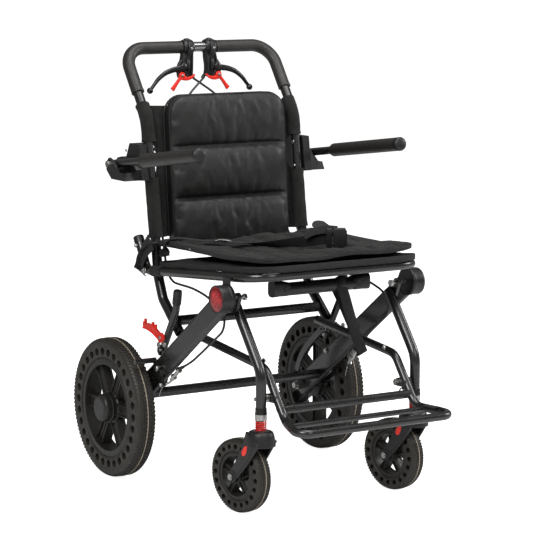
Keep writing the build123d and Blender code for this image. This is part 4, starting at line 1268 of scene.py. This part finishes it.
def make_seat_mat():
    """The loose channelled mat on top of the seat."""
    mat = slab("seat_mat", mat_top, mat_base, SEAT_HALF - 0.003, MAT_ENDS, MAT_CORNERS)
    pitch = 2 * SEAT_HALF / CHANNELS

    def to_line(co):
        inside = abs((co.x / pitch + CHANNELS / 2) % 1.0 - 0.5)
        return (0.5 - inside) * pitch

    def held(co):
        y = co.y - AXLE_Y
        rim = abs(co.x) > SEAT_HALF - 0.013 or y < MAT_ENDS[0] + 0.009 or y > MAT_ENDS[1] - 0.009
        under = co.z < (mat_top(co.x, y) + mat_base(co.x, y)) / 2
        return under or rim or to_line(co) < 0.0032

    def quilt(co, normal):
        if abs(normal.z) < 0.3:
            return Vector()
        y = co.y - AXLE_Y
        line = to_line(co)
        rear = min(1.0, max(0.0, (MAT_ENDS[1] - y) / 0.03))
        front = min(1.0, max(0.0, (y - MAT_ENDS[0]) / 0.012))
        roll = 0.0040 * sqrt(min(1.0, line / 0.020)) - 0.0032 * dent(line, 0.0032)
        cloth = 0.0014 * noise.noise(co * 38) + 0.0008 * noise.noise(co * 90)
        upward = 1 if normal.z > 0 else -0.3
        return Z_AXIS * (upward * roll * (0.3 + 0.7 * rear * front) + cloth)

    inflate(mat, held, pressure=4.0, cap=0.004, slack=0.03, voxel=0.0052)
    sculpt(mat, quilt)
    refine(mat)
    settle(mat, "seat_fabric", "rear_frame", ["seat_cushion"])
    band = Shell()
    edge = plan_outline(SEAT_HALF - 0.002, MAT_ENDS, MAT_CORNERS)
    path = [at(x, y, (mat_top(x, y) + mat_base(x, y)) / 2) for x, y in edge]
    band.sweep(path, box_section(0.0032, 0.0095, 0.0014, 3), up=Z_AXIS, closed=True)
    binding = band.piece("seat_mat_binding", "webbing", "rear_frame", sharp=60)
    mark = Shell()
    stitches(mark, [at(-0.2135, -0.232, 0.5265), at(-0.2140, -0.224, 0.5290)], 0.0080, 0.02, 0.0010)
    tack = mark.piece("seat_mat_tack", "pale_sleeve", "rear_frame", sharp=60)
    for piece in (mat, binding, tack):
        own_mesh(piece)


def layer_top(x, y):
    """The seat layer's upper surface before it is swelled."""
    return side_curve(LAYER_TOP, y) - 0.003 * (1 - (x / SEAT_HALF) ** 2) - 0.0015


def layer_base(x, y):
    """Its lower surface, which lies on the rails."""
    return side_curve(LAYER_BASE, y) + 0.001


def make_seat_layer():
    """The padded mesh seat below the mat; its front edge wraps over the front tube."""
    layer = slab("seat_layer", layer_top, layer_base, SEAT_HALF - 0.003, LAYER_ENDS, LAYER_CORNERS)

    def held(co):
        y = co.y - AXLE_Y
        rim = abs(co.x) > SEAT_HALF - 0.012 or y < LAYER_ENDS[0] + 0.01 or y > LAYER_ENDS[1] - 0.01
        return rim or co.z < (layer_top(co.x, y) + layer_base(co.x, y)) / 2

    def rumple(co, normal):
        inward = max(0.0, 1 - abs(abs(co.x) - SEAT_HALF) / 0.05)
        pucker = 0.0018 * noise.noise(Vector((co.x * 20, co.y * 55, 2.0))) * (0.4 + inward)
        return normal * pucker

    inflate(layer, held, pressure=4.0, cap=0.005, slack=0.03, voxel=0.0058)
    sculpt(layer, rumple)
    refine(layer)
    settle(layer, "seat_fabric", "rear_frame", ["seat_sling"])
    threads = Shell()
    hem = Shell()
    across = [0.148 * (k / 20 - 1) for k in range(41)]
    lip_y, lip_z = FRONT_TUBE
    for turn in (radians(100), radians(120)):
        drop = 0.0144
        path = [at(x, lip_y + drop * cos(turn), lip_z + drop * sin(turn) + 0.001) for x in across]
        stitches(threads, path, 0.0034, 0.0056, 0.0005)
    rings = []
    for x in across:
        fold = 0.0007 * noise.noise(Vector((x * 45, 0.3, 5)))
        outer = [(0.0142 + fold, radians(a)) for a in (50, 70, 90, 110, 128)]
        inner = [(0.0112, radians(a)) for a in (128, 110, 90, 70, 50)]
        rings.append([at(x, lip_y + r * cos(a), lip_z + r * sin(a)) for r, a in outer + inner])
    hem.rings(rings)
    edge = plan_outline(SEAT_HALF - 0.0005, LAYER_ENDS, LAYER_CORNERS)
    path = [at(x, y, layer_base(0, y) + 0.0035) for x, y in edge]
    hem.sweep(path, box_section(0.0042, 0.0128, 0.0018, 3), up=Z_AXIS, closed=True)
    for rise in (0.0065, 0.0005):
        outside = plan_outline(SEAT_HALF + 0.0018, LAYER_ENDS, LAYER_CORNERS)
        stitches(threads, [at(x, y, layer_base(0, y) + rise) for x, y in outside], 0.0034, 0.0056, 0.0005)
    hem.piece("seat_layer_hems", "webbing", "rear_frame", sharp=60)
    threads.piece("seat_layer_stitches", "thread", "rear_frame", sharp=60)


def make_rail_wraps():
    """Fabric sleeves of the seat layer round the rear of each rail."""
    shell = Shell()

    def wrap(share):
        return round_section(0.0119 + 0.0007 * sin(share * 11), 24)

    for _, sign in SIDES:
        path = [at(sign * RAIL_X, y, rail_height(y)) for y in (-0.070 - k * 0.004 for k in range(12))]
        shell.sweep(path, wrap, up=Z_AXIS)
    shell.piece("rail_wraps", "webbing", "rear_frame", sharp=60)


def ribbon(shell, path, width, turn, thick=0.0018):
    """A strap along a path that rolls from lying flat to turn(share) of a quarter turn."""
    last = len(path) - 1
    rings = []
    for i, here in enumerate(path):
        run = (path[min(i + 1, last)] - path[max(i - 1, 0)]).normalized()
        flat = run.cross(Z_AXIS).normalized()
        rise = flat.cross(run)
        roll = pi / 2 * turn(i / last)
        across = flat * cos(roll) + rise * sin(roll)
        lift = across.cross(run)
        rings.append([here + across * x + lift * y for x, y in strap_section(width, thick)])
    return shell.rings(rings)


BELT_WIDTH = 0.025
BUCKLE = (0.052, -0.386, 0.5530)  # its middle, for at()
BUCKLE_RUN = Vector((0.857, -0.515, 0))  # from its tongue to its tail


def buckle_block(target, middle_at, along, height, long, tall, deep, corner=0.003):
    """A rounded block on the buckle, from its place along and up the buckle."""
    start = middle_at + BUCKLE_RUN * (along - long / 2) + Z_AXIS * height
    places = [start + BUCKLE_RUN * long * share for share in (0.0, 0.06, 0.5, 0.94, 1.0)]
    swell = (0.86, 1.0, 1.0, 1.0, 0.86)

    def outline(share):
        grow = swell[round(share * 4)]
        return [(x * grow, y * grow) for x, y in box_section(deep, tall, corner)]

    target.sweep(places, outline, up=Z_AXIS)


def make_belt():
    """A lap belt that runs forward over the mat to a buckle standing on its edge."""
    rear = middle("lap_belt").y - AXLE_Y
    middle_at = at(*BUCKLE)
    left = smooth_path([
        at(0.217, rear + 0.016, 0.500), at(0.216, rear + 0.016, 0.528), at(0.200, rear + 0.006, 0.543),
        at(0.168, rear - 0.006, 0.549), at(0.136, -0.190, 0.545), at(0.112, -0.268, 0.543),
        at(0.098, -0.340, 0.547), middle_at + BUCKLE_RUN * 0.017,
    ])
    right = smooth_path([
        at(-0.217, rear + 0.020, 0.500), at(-0.215, rear + 0.018, 0.531), at(-0.196, rear + 0.006, 0.5405),
        at(-0.150, -0.170, 0.5350), at(-0.107, -0.200, 0.5335), at(-0.050, -0.258, 0.5310),
        at(0.000, -0.322, 0.5400), middle_at - BUCKLE_RUN * 0.017,
    ])
    keeper = smooth_path([
        middle_at + BUCKLE_RUN * 0.004 + Z_AXIS * 0.016, middle_at - BUCKLE_RUN * 0.020 + Z_AXIS * 0.018,
        middle_at - BUCKLE_RUN * 0.040 + Vector((0, 0.010, 0.012)),
        middle_at - BUCKLE_RUN * 0.058 + Vector((0, 0.014, 0.001)),
    ], 6)

    def left_turn(share):
        return sin(pi * min(1.0, share * 1.1)) * 0.35 + 0.65 * max(0.0, share * 4 - 3)

    def right_turn(share):
        return max(0.0, min(1.0, (share - 0.62) / 0.30))

    webbing = Shell()
    ribbon(webbing, left, BELT_WIDTH, left_turn)
    ribbon(webbing, right, BELT_WIDTH, right_turn)
    ribbon(webbing, keeper, 0.020, lambda share: 0.75 - 0.35 * share)
    webbing.piece("lap_belt_webbing", "webbing", "rear_frame", ["lap_belt"], sharp=50)
    blocks = [(-0.0135, 0.0, 0.012, 0.0420, 0.0125), (0.0090, 0.0, 0.027, 0.0430, 0.0145)]
    blocks += [(along, 0.0, 0.0014, 0.030, 0.0155, 0.0006) for along in (-0.0155, -0.0125, -0.0095)]
    blocks += [(-0.003, height, 0.012, 0.0065, 0.0095, 0.002) for height in (-0.0135, 0.0135)]
    buckle, tail, metal = Shell(), Shell(), Shell()
    for row in blocks:
        buckle_block(buckle, middle_at, *row)
    buckle.piece("belt_buckle_shell", "black_plastic", "rear_frame", ["belt_buckle"], sharp=40)
    buckle_block(tail, middle_at, 0.0225, -0.001, 0.0042, 0.034, 0.0060, 0.0012)
    tail.piece("belt_buckle_tail", "webbing", "rear_frame", sharp=50)
    tongue = (
        (-0.124, -0.186, 0.5362), (-0.116, -0.193, 0.5385), (-0.106, -0.202, 0.5380), (-0.098, -0.209, 0.5355),
    )
    ribbon(metal, route(1, tongue, 5), 0.019, lambda share: 0.0)
    metal.piece("belt_tongue", "zinc", "rear_frame", sharp=50)


def make_carry_handle():
    """The under-seat grip: a soft tube between moulded end blocks."""
    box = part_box("carry_handle")
    centre = at(0, -0.405, 0.456)
    grip, ends = Shell(), Shell()
    half = ((0.104, 0.0001), (0.104, 0.0125), (0.100, 0.0138), (0.060, 0.0140))
    grip.lathe([(-a, r) for a, r in half] + list(reversed(half)), centre, X_AXIS, 40)

    def block(share):
        depth = 0.027 + 0.008 * min(1, share * 1.6)
        return box_section(0.0262 + 0.0015 * share, depth, 0.008 + 0.002 * share)

    for _, sign in SIDES:
        tip = Vector((box[1 if sign > 0 else 0].x, centre.y, centre.z))
        steps = ((0.040, 0.0), (0.034, 0.001), (0.018, 0.003), (0.002, 0.003), (0.0, 0.003))
        path = [tip + Vector((-sign * inward, 0, rise)) for inward, rise in steps]
        ends.sweep(path, block, up=Z_AXIS)
        button = tip + Vector((-sign * 0.030, -0.013, 0.001))
        ends.lathe([(0, 0.0068), (0.0015, 0.006), (0.0015, 0.0001)], button, -Y_AXIS, 24)
    ends.piece("carry_handle_ends", "black_plastic", "rear_frame", sharp=45)
    grip.piece("carry_handle_grip", "black_plastic", "rear_frame", ["carry_handle"], sharp=45)


def make_pull_strap():
    """A doubled webbing loop that hangs from the carry handle."""
    low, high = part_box("pull_strap")
    y = (low.y + high.y) / 2 - AXLE_Y
    width, thick = 0.0245, 0.0016
    wrap_r, gap = 0.0138, 0.0142
    top, foot = at(0.047, y, 0.458), at(0.110, y, 0.3075)
    down = (foot - top).normalized()

    def hang(reach, side):
        return top + down * reach + Y_AXIS * (side * (gap - 0.0125 * min(1, reach / 0.10)))

    reaches = (0.03, 0.07, 0.11, 0.155)
    front = [hang(reach, -1) for reach in reaches]
    back = [hang(reach, 1) for reach in reversed(reaches)]
    crease, aside = foot + down * 0.004, Y_AXIS * 0.0026
    fold = [crease - aside, foot + down * 0.0075, crease + aside]
    turns = [radians(d) for d in (-20, 10, 50, 90, 130, 170, 200)]
    wrap = [top + Vector((0, wrap_r * cos(a), wrap_r * sin(a))) for a in turns]
    path = smooth_path(front + fold + back + wrap, 5, closed=True)
    across = down.cross(Y_AXIS).normalized()
    rings = []
    for i, here in enumerate(path):
        run = (path[(i + 1) % len(path)] - path[i - 1]).normalized()
        lift = across.cross(run).normalized()
        rings.append([here + across * a + lift * b for a, b in strap_section(width, thick, 3)])
    loop = Shell().rings(rings, closed=True)
    strap = loop.piece("pull_strap_loop", "webbing", "rear_frame", ["pull_strap"], sharp=50)


def make_stub_ends():
    """Caps on the open ends of the seat rails, their bolts and the webbing flaps below."""
    caps, bolts, flaps = Shell(), Shell(), Shell()
    cap = ((-0.012, 0.0103), (-0.012, 0.0116), (0.001, 0.0118), (0.003, 0.0104), (0.0034, 0.0001))
    flap = (
        (0.2120, -0.092, 0.5270), (0.2180, -0.076, 0.5240), (0.2258, -0.056, 0.510), (0.2268, -0.040, 0.486),
        (0.2262, -0.033, 0.462), (0.2150, -0.036, 0.4465),
    )
    cheek = ((0.2262, -0.082, 0.527), (0.2272, -0.052, 0.500), (0.2266, -0.036, 0.470))

    def cheek_section(share):
        return strap_section(0.040 - 0.018 * share, 0.0020)

    for _, sign in SIDES:
        end = at(sign * RAIL_X, -0.005, 0.527)
        caps.lathe(cap, end, (end - at(sign * RAIL_X, -0.044, 0.459)).normalized(), 36)
        fastener(bolts, at(sign * 0.2238, -0.014, 0.511), X_AXIS * sign, 0.008, 0.004)
        ribbon(flaps, route(sign, flap), 0.026, lambda share: 0.10 - 0.10 * share, 0.0022)
        flaps.sweep(route(sign, cheek), cheek_section, up=X_AXIS * sign)
    caps.piece("rail_end_caps", "black_plastic", "rear_frame")
    bolts.piece("rail_end_bolts", "zinc", "rear_frame")
    flaps.piece("rail_flaps", "webbing", "rear_frame", sharp=50)


# ---- small hardware -----------------------------------------------------------------
def make_hubs():
    """Reflector bezels and the stepped body of each front hub."""
    shell, faces = Shell(), Shell()
    hub = at(0, -0.404, 0.448)
    steps = (  # out from the chair's middle, radius
        ((0.2490, 0.0290), (0.2540, 0.0294), (0.2562, 0.0284), (0.2562, 0.0262), (0.2545, 0.0256)),
        ((0.2275, 0.0292), (0.2285, 0.0299), (0.2345, 0.0299), (0.2355, 0.0292)),
        ((0.2255, 0.0286), (0.2262, 0.0302), (0.2272, 0.0302), (0.2275, 0.0290)),
    )
    face = ((0.2535, 0.0256), (0.2548, 0.0256), (0.2556, 0.0230), (0.2559, 0.0150), (0.2560, 0.0001))
    for _, sign in SIDES:
        for step in steps:
            shell.band(step, hub, X_AXIS * sign, 64)
        faces.lathe(face, hub, X_AXIS * sign, 64)
    shell.piece("hub_bezels", "black_plastic", "rear_frame")
    faces.piece("hub_reflector_faces", "reflector", "rear_frame", ["hub_reflectors"], sharp=60)


REAR_BOLTS = (  # place on the left side, facing out (1) or in (-1), size across, height
    ((0.2400, -0.142, 0.311), 1, 0.010, 0.004), ((0.2400, -0.167, 0.315), 1, 0.010, 0.004),
    ((0.1805, -0.153, 0.310), 1, 0.010, 0.004), ((0.1805, -0.055, 0.206), 1, 0.010, 0.004),
    ((0.2235, -0.100, 0.248), -1, 0.010, 0.004), ((0.2065, 0, 0.1525), -1, 0.014, 0.006),
    ((0.2250, -0.052, 0.460), 1, 0.012, 0.005),
)


def make_fasteners():
    """Zinc bolts, nuts and rivets at the joints that show."""
    rear, front, foot = Shell(), Shell(), Shell()
    for _, sign in SIDES:
        for (x, y, z), facing, across, height in REAR_BOLTS:
            fastener(rear, at(sign * x, y, z), X_AXIS * sign * facing, across, height)
        dome(front, at(sign * 0.201, -0.4855, 0.256), Vector((sign * 0.54, -0.84, 0)), 0.0042, 0.0022)
        dome(front, at(sign * 0.195, -0.4505, 0.330), Vector((0, -0.8, -0.6)), 0.0040, 0.0022)
        fastener(foot, at(sign * 0.1545, -0.428, 0.314), -X_AXIS * sign, 0.009, 0.004)
    rear.piece("rear_frame_bolts", "zinc", "rear_frame")
    front.piece("front_leg_rivets", "zinc", "front_frame")
    foot.piece("footrest_link_nuts", "zinc", "footrest")


ARM_CAP = (  # along the sleeve, radius
    (-0.010, 0.0151), (-0.002, 0.0154), (0.0012, 0.0146), (0.0030, 0.0112), (0.0036, 0.0060), (0.0037, 0.0001),
)
ARM_COLLAR = ((-0.003, 0.0095), (-0.0025, 0.0122), (0.001, 0.0143), (0.006, 0.0151))
ARM_RING = ((0.012, 0.0092), (0.012, 0.0101), (0.018, 0.0101), (0.018, 0.0092))


def make_armrests():
    """Dark end caps on the sleeves, collars at their rear ends and the brackets' screws."""
    screws = Shell()
    for side, sign in SIDES:
        start, end = at(sign * 0.245, 0.042, 0.688), at(sign * 0.255, -0.336, 0.740)
        out = (end - start).normalized()
        cap = Shell().lathe(ARM_CAP, end, out, 40)
        cap.piece(f"armrest_end_cap_{side}", "black_plastic", f"armrest_{side}", sharp=50)
        collar = Shell().band(ARM_COLLAR, start.lerp(end, 0.34), out)
        collar.band(ARM_RING, start, out, 32)
        collar.piece(f"armrest_collar_{side}", "foam", f"armrest_{side}", sharp=50)
        for y, z in ((-0.020, 0.722), (-0.026, 0.668)):
            dome(screws, at(sign * 0.1812, y, z), -X_AXIS * sign, 0.0042, 0.0024)
        dome(screws, at(sign * 0.2355, 0.010, 0.720), X_AXIS * sign, 0.0036, 0.0018)
    screws.piece("armrest_bracket_screws", "zinc", "back_frame")


def make_side_levers():
    """Ribbed caps on the side levers and their pivot bolts."""
    profile = [(-0.030, 0.0081), (-0.029, 0.0092)]
    for k in range(5):
        base = -0.027 + 0.0052 * k
        profile += [(base, 0.0092), (base + 0.0008, 0.0099), (base + 0.0034, 0.0099), (base + 0.0042, 0.0092)]
    profile += [(0.0005, 0.0094), (0.0030, 0.0086), (0.0042, 0.0060), (0.0044, 0.0001)]
    for side, sign in SIDES:
        top = at(sign * 0.2155, -0.180, 0.430)
        up = (top - at(sign * 0.2155, -0.172, 0.385)).normalized()
        cap = Shell().lathe(profile, top, up, 32)
        cap.piece(f"side_lever_cap_{side}", "black_plastic", f"side_lever_{side}", sharp=45)
        bolt = Shell()
        fastener(bolt, at(sign * 0.2236, -0.115, 0.292), X_AXIS * sign, 0.010, 0.0035)
        fastener(bolt, at(sign * 0.2074, -0.115, 0.292), X_AXIS * -sign, 0.010, 0.004)
        bolt.piece(f"side_lever_bolt_{side}", "zinc", f"side_lever_{side}")


def make_brakes():
    """The bolts of each wheel brake, and the nuts, sleeve and bare wire at its cable's end."""
    nuts, sleeves, wires = Shell(), Shell(), Shell()
    nut = ((-0.0028, 0.0046), (-0.0028, 0.0072), (0.0028, 0.0072), (0.0028, 0.0046))
    tail = ((0.238, -0.170, 0.229), (0.242, -0.160, 0.220), (0.244, -0.152, 0.206), (0.243, -0.150, 0.196))

    def taper(share):
        return round_section(0.0030 - 0.0008 * share, 12)

    for side, sign in SIDES:
        arm = Shell()
        fastener(arm, at(sign * 0.2460, -0.145, 0.260), X_AXIS * sign, 0.011)
        fastener(arm, at(sign * 0.2460, -0.162, 0.226), X_AXIS * sign, 0.008)
        arm.piece(f"brake_arm_bolts_{side}", "zinc", f"wheel_brake_{side}")
        start, end = at(sign * 0.230, -0.213, 0.268), at(sign * 0.233, -0.184, 0.240)
        run = (end - start).normalized()
        for share in (0.10, 0.72):
            nuts.band(nut, start.lerp(end, share), run, 6)
        path = smooth_path([end - run * 0.004, end + run * 0.008, at(sign * 0.238, -0.169, 0.228)], 6)
        sleeves.sweep(path, taper, up=X_AXIS)
        wires.sweep(route(sign, tail), round_section(0.0007, 8), up=X_AXIS)
    nuts.piece("cable_adjuster_nuts", "zinc", "rear_frame")
    sleeves.piece("cable_spring_sleeves", "pale_sleeve", "rear_frame", sharp=60)
    wires.piece("brake_wire_tails", "chrome", "rear_frame", sharp=60)


def make_clip():
    """Raised edges, steps and a rivet on the red fold clip."""
    shell, rivet = Shell(), Shell()
    x = -0.2308
    edge = ((-0.132, 0.3135), (-0.112, 0.3225), (-0.092, 0.3295), (-0.070, 0.3335), (-0.053, 0.3340))
    path = smooth_path([at(x, y, z) for y, z in edge], 5)
    shell.sweep(path, box_section(0.0022, 0.0022, 0.0007), up=X_AXIS)
    for y, z in ((-0.100, 0.3435), (-0.088, 0.3470), (-0.055, 0.3500)):
        step = [at(-0.2242, y, z + 0.004), at(-0.2242, y, z - 0.006)]
        shell.sweep(step, box_section(0.006, 0.0055, 0.0015), up=Y_AXIS)
    shell.piece("fold_clip_ribs", "red_plastic", "clip")
    dome(rivet, at(x, -0.128, 0.323), -X_AXIS, 0.0046, 0.0026)
    rivet.piece("fold_clip_rivet", "zinc", "clip")


def make_footrest_trim():
    """The weld beads of the cross tubes and a small plate at one corner."""
    welds, plate = Shell(), Shell()
    for _, sign in SIDES:
        for x, y, z, r in ((0.1670, -0.552, 0.1990, 0.0072), (0.1555, -0.494, 0.226, 0.0100)):
            bead = ((-0.0035, r - 0.0012), (-0.0015, r + 0.0008), (0.0018, r + 0.0018), (0.003, r + 0.001))
            welds.band(bead, at(sign * x, y, z), X_AXIS * sign, 28)
    welds.piece("footrest_welds", "black_paint", "footrest", sharp=70)
    corner = at(0.168, -0.560, 0.2088)
    path = [corner, corner + Vector((0.006, -0.034, 0.0002))]
    plate.sweep(path, box_section(0.020, 0.0022, 0.0009), up=Z_AXIS)
    plate.piece("footrest_corner_plate", "black_plastic", "footrest")


def make_cable_joins():
    """Rubber boots at the cables' ends, and the short lengths that cross the back pivots."""
    boots = Shell()
    boot = ((-0.002, 0.0044), (0.004, 0.0042), (0.014, 0.0030), (0.016, 0.0027))
    crossing = (
        (0.1685, -0.0460, 0.479), (0.169, -0.0505, 0.466), (0.169, -0.0525, 0.459), (0.1696, -0.0570, 0.4525),
    )
    for _, sign in SIDES:
        end = at(sign * 0.230, -0.214, 0.269)
        boots.lathe(boot, end, (at(sign * 0.221, -0.246, 0.287) - end).normalized(), 20)
    boots.piece("brake_cable_boots", "cable_sheath", "rear_frame", sharp=60)
    for side, sign in SIDES:
        path = route(sign, crossing, 8)
        link = Shell().sweep(path, round_section(0.0027, 16), up=X_AXIS).piece(
            f"brake_cable_join_{side}", "cable_sheath", None, sharp=60,
            blend=("back_frame", "rear_frame", tuple(path[0]), tuple(path[-1])),
        )
        link.data.shade_smooth()


make_camera()
make_studio()
dress_cad_nodes()
for side_name, side_sign in SIDES:
    make_rear_wheel(side_name, side_sign)
    make_front_wheel(side_name)
    make_fork(side_name)
    make_spring(side_name)
    make_hand_lever(side_name, side_sign)
    make_park_lock(side_name, side_sign)
make_handle_bar()
make_lever_housing()
make_back_pad()
make_back_sling()
make_seat_layer()
make_seat_mat()
make_rail_wraps()
make_belt()
make_carry_handle()
make_pull_strap()
make_stub_ends()
make_hubs()
make_fasteners()
make_armrests()
make_side_levers()
make_brakes()
make_clip()
make_footrest_trim()
make_cable_joins()
